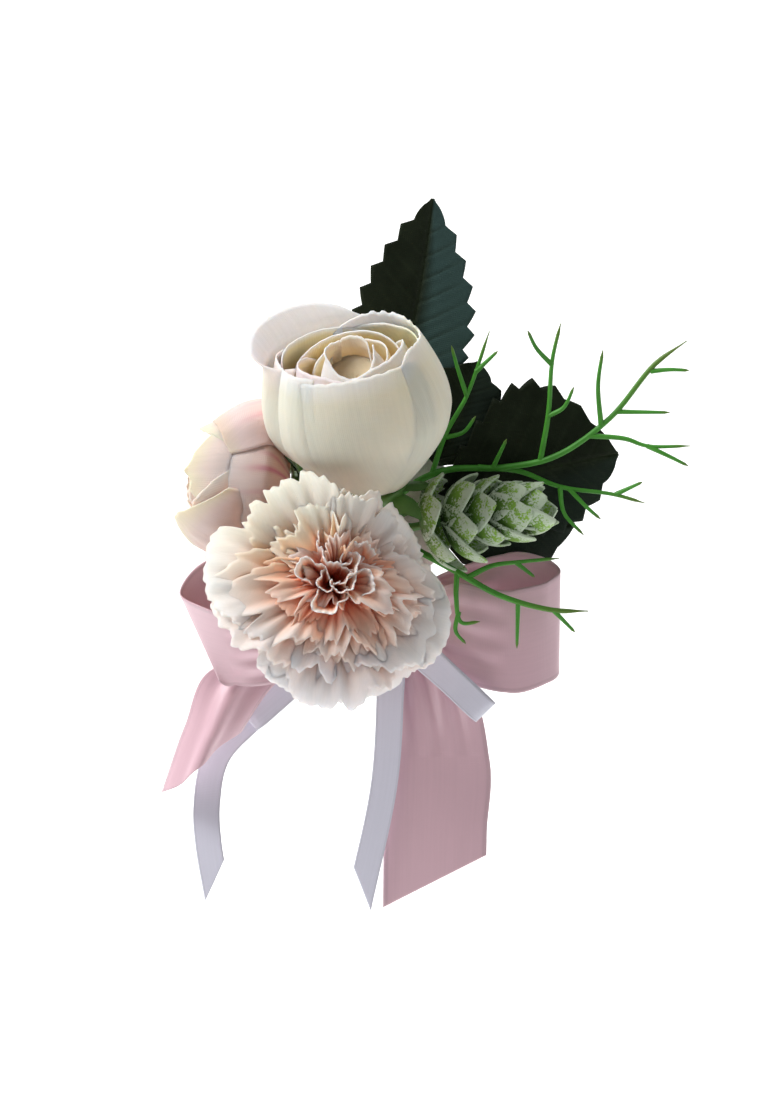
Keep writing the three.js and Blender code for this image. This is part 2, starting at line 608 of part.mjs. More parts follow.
// Leaves: serrated blades folded a little along the midrib, on two branched stalks
function leaf(name, { base, tip, facing, width, swell, lower = 1, bend = 0, teeth, tooth, fold, curl }) {
  const along = vec(tip).sub(vec(base));
  const length = along.length();
  const yAxis = along.normalize();
  const zAxis = vec(facing).addScaledVector(yAxis, -vec(facing).dot(yAxis)).normalize();
  const group = new THREE.Group();
  const basis = new THREE.Matrix4().makeBasis(yAxis.clone().cross(zAxis), yAxis, zAxis);
  group.quaternion.setFromRotationMatrix(basis);
  group.position.copy(vec(base));
  corsage.add(group);
  const rows = 2 * teeth;
  const blade = (u, v) => {
    const s = 2 * u - 1;
    const step = Math.round(v * rows);
    const isTip = step % 2 === 1;
    const t = (step + (isTip ? 0.45 : 0)) / rows;
    const ovate = Math.sin(Math.PI * Math.min(1, t) ** swell);
    const half = 0.5 + (width / 2) * ovate * (s > 0 ? lower : 1) + (isTip ? tooth : 0);
    const out = s * half;
    const bow = bend * Math.sin(Math.PI * Math.min(1, t));
    return vec([out + bow, Math.min(1, t) * length, fold * Math.abs(out) + curl * t * t]);
  };
  return add(name, sheet(blade, 2, rows, LEAF_THICK), LEAF, group);
}

leaf('leaf_top', {
  base: [1.6, -5.4, 15], tip: [14.2, -6.2, LEAF_TIP_Z], facing: [0, -1, 0], width: 25, swell: 0.97, bend: 1.6,
  teeth: 11, tooth: 1.3, fold: 0.03, curl: 0.3,
});
leaf('leaf_back', {
  base: [14, -7, 13.5], tip: [23, -7, 37], facing: [0, -1, 0], width: 17, swell: 1,
  teeth: 8, tooth: 1.2, fold: 0.02, curl: 0,
});
leaf('leaf_right', {
  base: [14.5, -8.3, 5.5], tip: [58.3, -8.8, 14.8], facing: [0, -1, 0], width: 40, swell: 1.5, lower: 0.66,
  teeth: 9, tooth: 1.4, fold: 0.02, curl: 0.4,
});
leaf('leaf_lower', {
  base: [20, -5.8, -2], tip: [48.4, -6.4, -3.1], facing: [0, -1, 0], width: 21, swell: 1.2,
  teeth: 7, tooth: 0.6, fold: 0.01, curl: 0,
});

function branchedStalk(stalk, branch) {
  return join(rod(stalk, STEM_RADIUS, LEAF_STALK, 6), rod(branch, LEAF_STALK, LEAF_STALK, 6));
}

const [upX, upY] = slot(UPPER_SLOT);
const upperStalk = stemCentres(UPPER_SLOT, [
  [upX + 0.3, upY + 1, WRAP_TOP + 4], [0.5, -4.3, 8], [3.8, -4.3, 18], [6.2, -4.4, 30],
], 9);
const upperBranch = smooth([[0.4, -4.3, 7], [7, -4.6, 9.5], [14, -5.4, 13], [17, -5.9, 20]], 4);
add('leaf_stalk_upper', branchedStalk(upperStalk, upperBranch), STEM);
const [sideX, sideY] = slot(SIDE_SLOT);
const sideStalk = stemCentres(SIDE_SLOT, [
  [sideX + 1, sideY + 1, WRAP_TOP + 4], [9, -4.8, 0], [16, -6, 4.5], [27, -7.2, 8],
], 9);
const sideBranch = smooth([[9, -4.8, 0], [17, -4.5, -1.2], [29, -4.8, -2.4]], 4);
add('leaf_stalk_side', branchedStalk(sideStalk, sideBranch), STEM);

// Fern: moulded sprays, each a stalk from the bundle with tapering twigs
function twig(points) {
  return rod(smooth(points, points.length), FERN_TWIG, FERN_TIP, 4);
}

const fernUpperStalk = stemCentres(null, [
  [1.2, -8.2, -2.5], [8, -8.6, 6], [17, -10, 11], [31.3, -11, 12], [43.2, -12.5, 15],
  [55.9, -13, 24.3], [66, -14, 37.2], [73.3, -15, 43],
], 14);
const FERN_UPPER_TWIGS = [
  [[14, -9.4, 9.5], [17.4, -10, 19.9], [22.3, -10.4, 29.1], [27.5, -11, 44.6]],
  [[22.3, -10.4, 29.1], [20.2, -11, 35.4], [18.6, -12, 41.3]],
  [[24.4, -10.6, 34.9], [29.4, -12, 40]],
  [[17.4, -10, 19], [21.6, -10.4, 20.4], [24.4, -11, 24.3]],
  [[28.6, -11, 12], [31.7, -12, 19]],
  [[39.7, -12, 13.9], [41.4, -13, 25.3], [42.1, -14, 38.1], [43.9, -15, 47.1]],
  [[42.1, -14, 37.1], [38.3, -15, 41.3], [36.2, -16, 45.6]],
  [[41.4, -13, 24.8], [44.9, -14, 27], [47.2, -15, 32.1]],
  [[53.8, -13, 22.6], [52.9, -14, 32.3], [53.8, -15, 40.8]],
  [[65.1, -13.9, 35.6], [69.6, -14.5, 36.1], [74, -15, 36]],
  [[57.3, -13.1, 25.8], [69.8, -14, 25.8]],
  [[50.7, -12.8, 20], [59.5, -13.5, 19.4], [64.6, -14, 17.8], [FERN_TIP_X, -15, 18]],
  [[64.6, -14, 17.8], [70, -15, 15.4], [74.3, -15, 13.2]],
  [[25, -10.7, 12], [35, -10.2, 10.8], [44.4, -11, 7.3], [56.9, -13, 5.9], [64.4, -14, 4]],
  [[57.5, -13, 5.9], [63.7, -14, 9.1]],
  [[46.5, -11.4, 7], [50.3, -13, 3.2], [54, -14, 0.1]],
  [[44.4, -11, 7.3], [45.5, -11.5, 1], [50.1, -13, -4]],
];
const fernUpper = join(rod(fernUpperStalk, FERN_STALK, FERN_TIP, 6), ...FERN_UPPER_TWIGS.map(twig));
add('fern_upper', fernUpper, FERN);

const [lowX, lowY] = slot(LOW_SLOT);
const fernLowerStalk = stemCentres(LOW_SLOT, [
  [lowX + 2, lowY - 1, WRAP_TOP + 2.5], [11, -14.5, -7.5], [20, -21, -11], [30.1, -23, -16.2],
  [42.1, -24, -19.4], [50.8, -24, -19.7],
], 11);
const FERN_LOWER_TWIGS = [
  [[42.5, -24, -19.4], [47.7, -24, -24.8]],
  [[34.3, -23.4, -17.6], [34.1, -24, -28.8]],
  [[22.6, -21.8, -12], [28.2, -20.5, -9.6], [34, -19.5, -9], [44.2, -18, -8.4]],
  [[33.8, -19.5, -9], [38.3, -20, -12.5]],
  [[20, -21, -11], [19.8, -22.2, -17], [21, -22.2, -22.9], [25.4, -22.4, -22.7]],
  [[20.4, -22.2, -20.4], [19.7, -22.2, -25], [22.1, -22, -28.2]],
];
const fernLower = join(rod(fernLowerStalk, FERN_STALK, FERN_TIP, 6), ...FERN_LOWER_TWIGS.map(twig));
add('fern_lower', fernLower, FERN);

// Ribbons: each row is a point on the centre line, the direction across the ribbon, how far it is gathered,
// and how far its middle stands out to the front where it curls lengthwise
function ribbon(width, rows, along, slantLow = 0, slantHigh = 0) {
  const centres = new THREE.CatmullRomCurve3(rows.map((row) => vec(row.slice(0, 3))));
  const acrosses = new THREE.CatmullRomCurve3(rows.map((row) => vec(row.slice(3, 6)).normalize()));
  const spread = new THREE.CatmullRomCurve3(rows.map((row) => vec([row[6], row[7] ?? 0, 0])));
  const curled = rows.some((row) => row[7]);
  const strip = (u, v) => {
    const t = v * (1 - slantLow * (1 - u) - slantHigh * u);
    const s = 2 * u - 1;
    const { x: gathered, y: curl } = spread.getPoint(t);
    const across = acrosses.getPoint(t).normalize();
    const point = centres.getPoint(t).addScaledVector(across, (s * gathered * width) / 2);
    point.y -= curl * (1 - s * s);
    return point;
  };
  return sheet(strip, curled ? 4 : 2, along, RIBBON_THICK);
}

const KNOT_BACK = BUNDLE_Y - WRAP_RADIUS - GAP;
const BAND_BACK = KNOT_BACK - RIBBON_THICK;
const KNOT_Y = BAND_BACK - GAP - KNOT_HALF_DEPTH;
const KNOT_FRONT = KNOT_Y - KNOT_HALF_DEPTH - GAP - RIBBON_THICK;

function roundedBlock(halfY, halfZ, corner) {
  const shape = new THREE.Shape();
  shape.absarc(halfY - corner, halfZ - corner, corner, 0, Math.PI / 2, false);
  shape.absarc(corner - halfY, halfZ - corner, corner, Math.PI / 2, Math.PI, false);
  shape.absarc(corner - halfY, corner - halfZ, corner, Math.PI, Math.PI * 1.5, false);
  shape.absarc(halfY - corner, corner - halfZ, corner, Math.PI * 1.5, Math.PI * 2, false);
  shape.closePath();
  return shape;
}

function alongKnot(shape, halfWidth) {
  const solid = plate(shape, 2 * halfWidth, 4).translate(0, 0, -halfWidth);
  return solid.applyMatrix4(acrossBar).translate(0, KNOT_Y, KNOT_Z);
}

const bandOuter = GAP + RIBBON_THICK;
const aroundGather = (gap) => roundedBlock(KNOT_HALF_DEPTH + gap, KNOT_HALF_HEIGHT + gap, KNOT_CORNER + gap);
add('satin_gather', alongKnot(aroundGather(0), KNOT_HALF_WIDTH), SATIN);
const band = aroundGather(bandOuter);
band.holes.push(aroundGather(GAP));
add('lilac_knot', alongKnot(band, LILAC_WIDTH / 2), LILAC);

const side = KNOT_HALF_WIDTH + GAP;
const nearLayer = KNOT_Y - 1.05;
const farLayer = KNOT_Y + 1.05;
add('satin_loop_left', ribbon(SATIN_WIDTH, [
  [-side, nearLayer, KNOT_Z - 0.5, 0, 0, 1, 0.28],
  [-13, -17, -27.5, 0, -0.3, 1, 0.5],
  [-24, -16.8, -31, 0, -0.5, 0.87, 0.9],
  [-34.3, -15.5, -31.5, -0.12, -0.52, 0.84, 1],
  [-41.2, -12, -29.4, -0.36, -0.14, 0.92, 1],
  [-35.3, -9.3, -22.6, -0.2, -0.1, 0.97, 1],
  [-22, -9.5, -21.5, 0, 0, 1, 0.68],
  [-11, -12, -23.2, 0, 0, 1, 0.34],
  [-side, farLayer, KNOT_Z - 0.5, 0, 0, 1, 0.28],
], 20), SATIN);
add('satin_loop_right', ribbon(SATIN_WIDTH, [
  [side, nearLayer, KNOT_Z, 0, 0, 1, 0.28],
  [12, -17.2, -24, 0, 0, 1, 0.5],
  [19.5, -18.3, -26, 0.1, -0.05, 1, 0.85],
  [32.4, -19.6, -28.4, 0.03, 0, 1, 1],
  [41.5, -17.2, -26.8, 0, 0, 1, 1],
  [44.6, -13.4, -25.1, 0, 0, 1, 1],
  [41.4, -9.8, -23, 0, 0, 1, 1],
  [31.3, -8.8, -22.2, 0, 0, 1, 1],
  [17, -10, -22.5, 0, 0, 1, 0.7],
  [side, farLayer, KNOT_Z, 0, 0, 1, 0.28],
], 20), SATIN);
add('satin_tail_left', ribbon(SATIN_WIDTH, [
  [-side, KNOT_Y, KNOT_Z - 2, 0, 0, 1, 0.14],
  [-11, -12.6, -32.5, -0.3, 0.1, 0.95, 0.26],
  [-20, -7.6, -37.5, -0.7, 0, 0.7, 0.5],
  [-31.3, -5.4, -41, -0.98, 0, 0.2, 0.62, 1],
  [-39, -5.6, -54.6, -0.97, 0, 0.25, 0.48, 4],
  [TAIL_TIP_X, -6.4, -71.5, -0.97, 0, 0.25, 0.4, 5],
], 12, 0.22, 0), SATIN);
add('satin_tail_right', ribbon(SATIN_WIDTH, [
  [side, KNOT_Y, KNOT_Z - 2, 0, 0, 1, 0.14],
  [9.5, -14.6, -31, 0.75, 0, 0.66, 0.5],
  [12.8, -14.4, -40, 0.97, 0, 0.2, 0.85],
  [15.5, -14, -58.3, 1, 0.05, 0, 1],
  [15.2, -14.6, -78, 1, 0.05, 0, 1],
  [15, -15, TAIL_END_Z + 0.5, 1, 0.05, 0, 1],
], 12, 0, 0.14), SATIN);
const tailStart = KNOT_FRONT - GAP - RIBBON_THICK / 2;
const layerStep = RIBBON_THICK + GAP;
add('lilac_tail_right', ribbon(LILAC_WIDTH, [
  [1.5, tailStart, KNOT_Z - 1.5, 0.9, 0, 0.3, 0.8],
  [4.2, tailStart - 0.2, -34, 1, 0, 0.1, 1],
  [4.2, -18, -44, 1, 0, 0, 1],
  [2.8, -17.5, -64.7, 1, 0.1, 0, 1],
  [-3.6, -18, TAIL_END_Z + 1, 0.97, 0.1, -0.2, 1],
], 10, 0.08, 0), LILAC);
add('lilac_loop_right', ribbon(LILAC_WIDTH, [
  [1.5, tailStart - 2 * layerStep, KNOT_Z - 0.6, 0.5, 0, 0.86, 0.8],
  [9, -21.9, -28.6, 0.7, 0, 0.7, 1],
  [18, -22.6, -36.6, 0.7, 0, 0.7, 1],
  [25.8, -22.4, -44.2, 0.7, 0, 0.7, 1],
  [26.9, -21.6, -45.2, 0.7, 0, 0.7, 1],
  [25.8, -20.9, -44.2, 0.7, 0, 0.7, 1],
  [18, -21, -36.6, 0.7, 0, 0.7, 1],
  [9, -20, -28.8, 0.7, 0, 0.7, 1],
  [1.5, tailStart - layerStep, KNOT_Z - 1, 0.5, 0, 0.86, 0.8],
], 18), LILAC);
const underKnot = KNOT_Z - KNOT_HALF_HEIGHT - bandOuter - GAP;
add('lilac_loop_left', ribbon(LILAC_WIDTH, [
  [-1.5, KNOT_Y - 0.6, underKnot - 2, 0.72, 0, -0.7, 0.6],
  [-8.5, -10, -35.5, 0.72, 0, -0.7, 1],
  [-17, -4.9, -41, 0.76, 0, -0.65, 1],
  [-24, -3.6, -47.6, 0.8, 0, -0.6, 1],
  [-29, -3.4, -52, 0.65, 0, -0.75, 1],
  [-30.2, -2.9, -52.8, 0.6, 0, -0.8, 1],
  [-29, -2.3, -52, 0.65, 0, -0.75, 1],
  [-24, -2.3, -47.6, 0.8, 0, -0.6, 1],
  [-17, -3.6, -41, 0.76, 0, -0.65, 1],
  [-8.5, -8.4, -35.2, 0.72, 0, -0.7, 1],
  [-1.5, KNOT_Y + 0.4, underKnot - 2, 0.72, 0, -0.7, 0.6],
], 20), LILAC);
add('lilac_tail_left', ribbon(LILAC_WIDTH, [
  [-2, KNOT_Y + 1.2, underKnot - 1.4, 0.75, 0, -0.66, 0.5],
  [-10, -7, -35.2, 0.75, 0, -0.66, 0.9],
  [-19, -1.5, -43, 0.75, 0, -0.66, 1],
  [-30.5, -0.9, -54, 0.85, 0, -0.5, 1],
  [-38.4, -2, -63, 0.95, 0, -0.3, 1],
  [-40.6, -5, -74, 1, 0, 0, 1],
  [-40.2, -7, -83, 0.97, 0, 0.2, 1],
  [-38, -8, TAIL_END_Z, 0.97, 0, 0.2, 1],
], 14, 0, 0.09), LILAC);

export default corsage;
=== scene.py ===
"""Looks of a pin-on corsage: cloth flowers, leaves, a hop cone, fern and two bows on a brooch back."""

import functools
import json
import math

import bmesh
import bpy
import numpy as np
from mathutils import Matrix, Vector

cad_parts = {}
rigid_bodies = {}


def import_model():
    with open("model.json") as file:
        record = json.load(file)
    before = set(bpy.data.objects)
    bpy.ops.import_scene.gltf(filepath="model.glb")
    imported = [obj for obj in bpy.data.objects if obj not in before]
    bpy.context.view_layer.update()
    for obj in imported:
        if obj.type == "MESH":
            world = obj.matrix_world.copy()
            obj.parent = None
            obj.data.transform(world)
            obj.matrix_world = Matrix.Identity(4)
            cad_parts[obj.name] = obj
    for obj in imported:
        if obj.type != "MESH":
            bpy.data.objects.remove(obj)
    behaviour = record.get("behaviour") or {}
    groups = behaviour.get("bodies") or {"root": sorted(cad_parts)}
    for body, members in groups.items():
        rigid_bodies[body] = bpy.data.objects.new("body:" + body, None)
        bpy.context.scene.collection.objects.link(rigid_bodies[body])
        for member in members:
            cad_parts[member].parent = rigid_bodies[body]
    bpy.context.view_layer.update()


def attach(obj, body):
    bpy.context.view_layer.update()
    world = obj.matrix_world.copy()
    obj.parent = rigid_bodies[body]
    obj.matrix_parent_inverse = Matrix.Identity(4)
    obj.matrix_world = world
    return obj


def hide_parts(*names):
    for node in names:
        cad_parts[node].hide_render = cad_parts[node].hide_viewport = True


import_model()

bl_info = {
    "name": "Pin-on corsage",
    "version": (1, 0, 0),
    "blender": (4, 5, 0),
    "location": "3D View > Sidebar > Corsage",
    "description": "Dresses the corsage's solids with cloth flowers, leaves, fern, ribbons and a stage",
    "category": "Object",
}

MM = 0.001
UV_MM = 100.0
BODY = "corsage"

# Sockets of the colour mix node, which share their names with its other kinds
MIX_FACTOR, MIX_A, MIX_B, MIX_COLOUR = 0, 6, 7, 2

# Forms of the flowers in millimetres, as the solids have them
ROSE_BASE = (1.9, -19, 9.6)
ROSE_AXIS = (-0.198, -0.317, 0.928)
BUD_BASE = (-19.4, -15.8, 8)
BUD_AXIS = (-0.975, -0.1, 0.12)
CARNATION_HEART = (-10.3, -32, -13.5)
CARNATION_AXIS = (0.14, -0.935, 0.325)
CARNATION_HEART_AXIS = (0.15, -0.86, 0.49)
HOP_BASE = (10.5, -18.5, -0.6)
HOP_AXIS = (0.978, -0.063, 0.191)
HOP_WHORLS, HOP_SCALES = 5, 6
HOP_FOOT, HOP_LENGTH = 2.5, 19
ROSE_LENGTH, ROSE_BELLY, ROSE_RIM = 38, 20.6, 15.5
BUD_LENGTH, BUD_BELLY, BUD_RIM = 25, 16.6, 13.5
CORAL_TURN = math.radians(215)
# Curled petals in the heart of the carnation: the side each stands on in degrees, how far out and how wide
HEART_CURLS = ((20, 0.6, 3.5), (40, 7, 3.4), (112, 6.6, 3.8), (185, 6.8, 3.2), (250, 7.2, 3.9), (318, 6.8, 3.4),
               (215, 3.6, 2.6), (285, 3.8, 2.4))
# Heights at which their feet stand and to which their lean is measured
HEART_LOW, HEART_TOP = 9, 24
# Sides on which the carnation is shorter or, below 0, fuller: turn in degrees, share of the reach, sharpness
CARNATION_TRIM = ((38, 0.26, 5), (90, -0.08, 2), (118, 0.1, 8), (215, 0.16, 2), (268, 0.09, 4))
BUD_SQUASH = 0.82

# Knot of the bows and the taped bundle behind it
KNOT_Z = -23.5
KNOT_Y = -14.4
KNOT_HALF_HEIGHT = 3.5
KNOT_HALF_DEPTH = 1.6
KNOT_HALF_WIDTH = 4.0
BUNDLE_Y = -7.6
WRAP_TOP = -8.0
WRAP_BOTTOM = -38.0
WRAP_RADIUS = 4.2
WRAP_WALL = 0.6
PAD_RADIUS = 20.0
PAD_FRONT = -3.1
PAD_BACK = -1.1
# Gap between the wide ribbon's gathered middle and the narrow ribbon round it
BAND_GAP = 0.5
# Rolled edge of the stamped brooch, in metres
PLATE_EDGE = 0.00008

# Floor that sweeps up into a backdrop, in millimetres
FLOOR_Z = -300
FLOOR_FRONT = -260
SWEEP_START = 700
SWEEP_RADIUS = 300
WALL_TOP = 2000
STAGE_HALF_WIDTH = 2500
# How strongly the room lights the corsage, and how pale it looks behind it
ROOM_LIGHT, ROOM_SEEN = 0.22, 0.85
# Lamps: place and size in metres, power in watts
LIGHT_AIM = (0.004, -0.02, -0.007)
LIGHTS = (
    ("key_light", (-0.66, -0.2, 0.8), 0.5, 11.5), ("fill_light", (0.9, -0.6, 0.1), 0.8, 1.9),
    ("low_light", (-0.75, -0.5, -0.6), 0.6, 3.4), ("back_light", (0.1, 0.6, 0.8), 0.5, 1.8),
)
# Camera: lens in millimetres, what it looks at and how far off in metres, and how far down it looks
LENS = 103.7
LOOK_AT = (0.00423, -0.020, -0.00688)
CAMERA_AWAY = 0.75
CAMERA_TILT = math.radians(14)


def linear(code):
    """An sRGB hex colour as linear red, green and blue."""
    parts = [int(code[i:i + 2], 16) / 255 for i in (1, 3, 5)]
    return tuple(c / 12.92 if c <= 0.04045 else ((c + 0.055) / 1.055) ** 2.4 for c in parts)


def length_setting(name, description, default):
    return bpy.props.FloatProperty(
        name=name, description=description, default=default, min=0.00005, unit="LENGTH", precision=5)


def colour_setting(name, description, code):
    return bpy.props.FloatVectorProperty(
        name=name, description=description, default=linear(code), size=3, min=0, max=1, subtype="COLOR")


class CorsageSizes(bpy.types.PropertyGroup):
    """Sizes of the cloth, ribbon and stalks"""

    petal_thick: length_setting("Petal cloth", "Thickness of the petal cloth", 0.00032)
    crease_depth: length_setting("Petal crease", "Depth of the creases pressed along a petal", 0.00016)
    leaf_thick: length_setting("Leaf cloth", "Thickness of the leaf cloth", 0.00036)
    vein_depth: length_setting("Leaf vein", "Depth of the veins pressed into a leaf", 0.00035)
    ribbon_thick: length_setting("Ribbon", "Thickness of both ribbons", 0.0003)
    satin_width: length_setting("Satin width", "Width of the pink satin ribbon", 0.025)
    lilac_width: length_setting("Lilac width", "Width of the lilac ribbon", 0.0065)
    bract_length: length_setting("Hop scale length", "Length of one scale of the hop cone", 0.0136)
    bract_width: length_setting("Hop scale width", "Width of one scale of the hop cone", 0.0116)
    bract_thick: length_setting("Hop scale thickness", "Thickness of one scale of the hop cone", 0.0006)
    fern_section: length_setting("Fern section", "Radius that a fern stalk of size 1 has", 0.00112)
    tape_step: length_setting("Tape lap", "Distance between turns of the florist's tape", 0.005)


class CorsageColours(bpy.types.PropertyGroup):
    """Colours of the cloth, ribbon, plastic and metal"""

    rose_rim: colour_setting("Rose rim", "Edge of the rose petals", "#f8f3ec")
    rose_cloth: colour_setting("Rose", "Outer face of the rose petals", "#f3e7cf")
    rose_inside: colour_setting("Rose inside", "Inner face of the rose petals", "#fbe4b4")
    rose_heart: colour_setting("Rose heart", "Folded heart of the rose", "#efd3ad")
    blush: colour_setting("Blush", "Pink flush on petal edges", "#eeb4b6")
    lime: colour_setting("Lime", "Yellow-green flush on petal edges", "#dfe0a8")
    bud_cloth: colour_setting("Bud", "Petals of the pink bud", "#e6c6bd")
    bud_streak: colour_setting("Bud streak", "Magenta streaks of the pink bud", "#c8587c")
    carnation_edge: colour_setting("Carnation edge", "Frilled edge of the carnation", "#f6ece6")
    carnation_mid: colour_setting("Carnation", "Middle of the carnation petals", "#f5bca6")
    carnation_deep: colour_setting("Carnation deep", "Depth of the carnation", "#fc7c54")
    leaf: colour_setting("Leaf", "Dark leaf cloth", "#131b0c")
    # Painted sheen: a blue-grey painted reflection laid on one half of a leaf
    leaf_sheen: colour_setting("Leaf bloom", "Blue-grey bloom on the leaf cloth", "#45605e")
    fern: colour_setting("Fern", "Moulded fern", "#3f8c24")
    fern_tip: colour_setting("Fern tip", "Darker tips of the fern", "#6a6a2c")
    hop: colour_setting("Hop", "Scales of the hop cone", "#93c24a")
    # Painted shade: the roots of the scales, which lie under the scales around them, are painted near black
    hop_root_shade: colour_setting("Hop deep", "Roots of the hop scales", "#1f3412")
    frost: colour_setting("Frost", "Frosting on the hop scales", "#d0dfca")
    satin: colour_setting("Satin", "Pink satin ribbon", "#e3bdc8")
    lilac: colour_setting("Lilac", "Narrow lilac ribbon", "#e4e3f2")
    sepal: colour_setting("Sepal", "Calyx cups and sepals", "#4f7a34")
    tape: colour_setting("Tape", "Florist's tape", "#5f7f4a")
    felt: colour_setting("Felt", "Felt pad", "#efeeea")
    steel: colour_setting("Nickel", "Nickel plate of the brooch back", "#c9ccd0")
    floor: colour_setting("Floor", "Floor and backdrop", "#f7f7f6")


def sizes():
    return bpy.context.scene.corsage_sizes


def colours():
    return bpy.context.scene.corsage_colours


def rgba(colour):
    """A colour, or what a hex code stands for, at full strength."""
    return (*(linear(colour) if isinstance(colour, str) else colour), 1.0)


# Node trees


def add_node(tree, kind, inputs=None, out=0, stops=None, **settings):
    """Adds a node with its settings, input values or links, and a ramp's colour stops; gives one of its outputs."""
    made = tree.nodes.new(kind)
    for key, value in settings.items():
        setattr(made, key, value)
    for key, value in (inputs or {}).items():
        if isinstance(value, bpy.types.NodeSocket):
            tree.links.new(value, made.inputs[key])
        else:
            made.inputs[key].default_value = value
    for place, (position, colour) in enumerate(stops or ()):
        ramp = made.color_ramp.elements
        stop = ramp[place] if place < len(ramp) else ramp.new(position)
        stop.position = position
        stop.color = rgba(colour)
    return made.outputs[out] if made.outputs else None


def new_material(name, surface, *values):
    """A material with the surface that a function makes out of nodes."""
    material = bpy.data.materials.new(name)
    material.use_nodes = True
    material.node_tree.nodes.clear()
    node = functools.partial(add_node, material.node_tree)
    node("ShaderNodeOutputMaterial", {"Surface": surface(node, *values)})
    return material


def wave_scale(spacing_mm):
    """Scale of a wave texture on a flat map whose bands stand a real distance apart."""
    return 2 * math.pi * UV_MM / (20 * spacing_mm)


def noise_scale(grain_mm):
    """Scale of a noise texture on Object coordinates whose grain has a real size."""
    return 1 / (grain_mm * MM)


def shaded(colour, share, lift=0.0):
    """A colour made darker or lighter."""
    return tuple(min(1, c * share + lift) for c in colour)


def woven(node, spacing_mm):
    """Height of a plain weave on a flat map, with threads a real distance apart both ways."""
    place = node("ShaderNodeTexCoord", out="UV")
    warp, weft = (node("ShaderNodeTexWave", {
        "Vector": place, "Scale": wave_scale(spacing_mm)}, out="Fac", bands_direction=way) for way in "XY")
    return node("ShaderNodeMath", {0: warp, 1: weft}, operation="ADD")


def petal_cloth(node, stops, flush, second_flush):
    """Stiffened polyester petal cloth: matt, a little fuzzy, lets light through, finely woven, with pressed streaks."""
    along = node("ShaderNodeAttribute", attribute_name="along", out="Fac")
    dye = node("ShaderNodeValToRGB", {0: along}, stops=stops)
    first = node("ShaderNodeAttribute", attribute_name="flush", out="Fac")
    flushed = node("ShaderNodeMix", {
        MIX_FACTOR: first, MIX_A: dye, MIX_B: rgba(flush)}, data_type="RGBA", out=MIX_COLOUR)
    second = node("ShaderNodeAttribute", attribute_name="tint", out="Fac")
    tinted = node("ShaderNodeMix", {
        MIX_FACTOR: second, MIX_A: flushed, MIX_B: rgba(second_flush)}, data_type="RGBA", out=MIX_COLOUR)
    place = node("ShaderNodeTexCoord", out="UV")
    # Pressed streaks about 0.9 mm wide and 14 mm long
    drawn = node("ShaderNodeMapping", {"Vector": place, "Scale": (UV_MM / 0.9, UV_MM / 14, 1)})
    streak = node("ShaderNodeTexNoise", {"Vector": drawn, "Scale": 1.0, "Detail": 3.0})
    shade = node("ShaderNodeMapRange", {
        "Value": streak, "From Min": 0.3, "From Max": 0.7, "To Min": 0.965, "To Max": 1.02})
    streaked = node("ShaderNodeMix", {
        MIX_FACTOR: 1.0, MIX_A: tinted, MIX_B: shade}, data_type="RGBA", blend_type="MULTIPLY", out=MIX_COLOUR)
    # Threads stand about 0.2 mm apart: drawn at 0.45 mm so that they show
    weave = woven(node, 0.45)
    relief = node("ShaderNodeMath", {0: streak, 1: 1.5, 2: weave}, operation="MULTIPLY_ADD")
    bump = node("ShaderNodeBump", {"Height": relief, "Strength": 0.25, "Distance": 0.00008})
    return node("ShaderNodeBsdfPrincipled", {
        "Base Color": streaked, "Roughness": 0.75, "IOR": 1.47, "Specular IOR Level": 0.3, "Sheen Weight": 0.15,
        "Sheen Roughness": 0.5, "Subsurface Weight": 0.65, "Subsurface Radius": (1.0, 0.75, 0.6),
        "Subsurface Scale": 0.0015, "Normal": bump})


def leaf_cloth(node):
    """Dyed and heat-pressed polyester leaf cloth: dark and half matt, with a blue-grey sheen painted on one half."""
    tone = colours()
    place = node("ShaderNodeTexCoord", out="Object")
    blotch = node("ShaderNodeTexNoise", {"Vector": place, "Scale": noise_scale(6), "Detail": 4.0})
    lighter = shaded(tone.leaf, 1.7, 0.004)
    base = node("ShaderNodeValToRGB", {0: blotch}, stops=[(0.35, tone.leaf), (0.75, lighter)])
    # A blue-grey painted sheen, standing for the reflection that one half of a leaf catches, is mixed in where the tint
    # value says
    painted_sheen = node("ShaderNodeAttribute", attribute_name="tint", out="Fac")
    with_painted_sheen = node("ShaderNodeMix", {
        MIX_FACTOR: painted_sheen, MIX_A: base, MIX_B: rgba(tone.leaf_sheen)}, data_type="RGBA", out=MIX_COLOUR)
    vein = node("ShaderNodeAttribute", attribute_name="flush", out="Fac")
    veined = node("ShaderNodeMix", {
        MIX_FACTOR: vein, MIX_A: with_painted_sheen, MIX_B: rgba("#3b4630")}, data_type="RGBA", out=MIX_COLOUR)
    # Threads stand about 0.2 mm apart: drawn at 0.5 mm so that they show
    weave = woven(node, 0.5)
    bump = node("ShaderNodeBump", {"Height": weave, "Strength": 0.3, "Distance": 0.0001})
    rough = node("ShaderNodeMapRange", {"Value": blotch, "To Min": 0.5, "To Max": 0.7})
    return node("ShaderNodeBsdfPrincipled", {
        "Base Color": veined, "Roughness": rough, "IOR": 1.5, "Specular IOR Level": 0.15, "Sheen Weight": 0.02,
        "Sheen Roughness": 0.4, "Normal": bump})


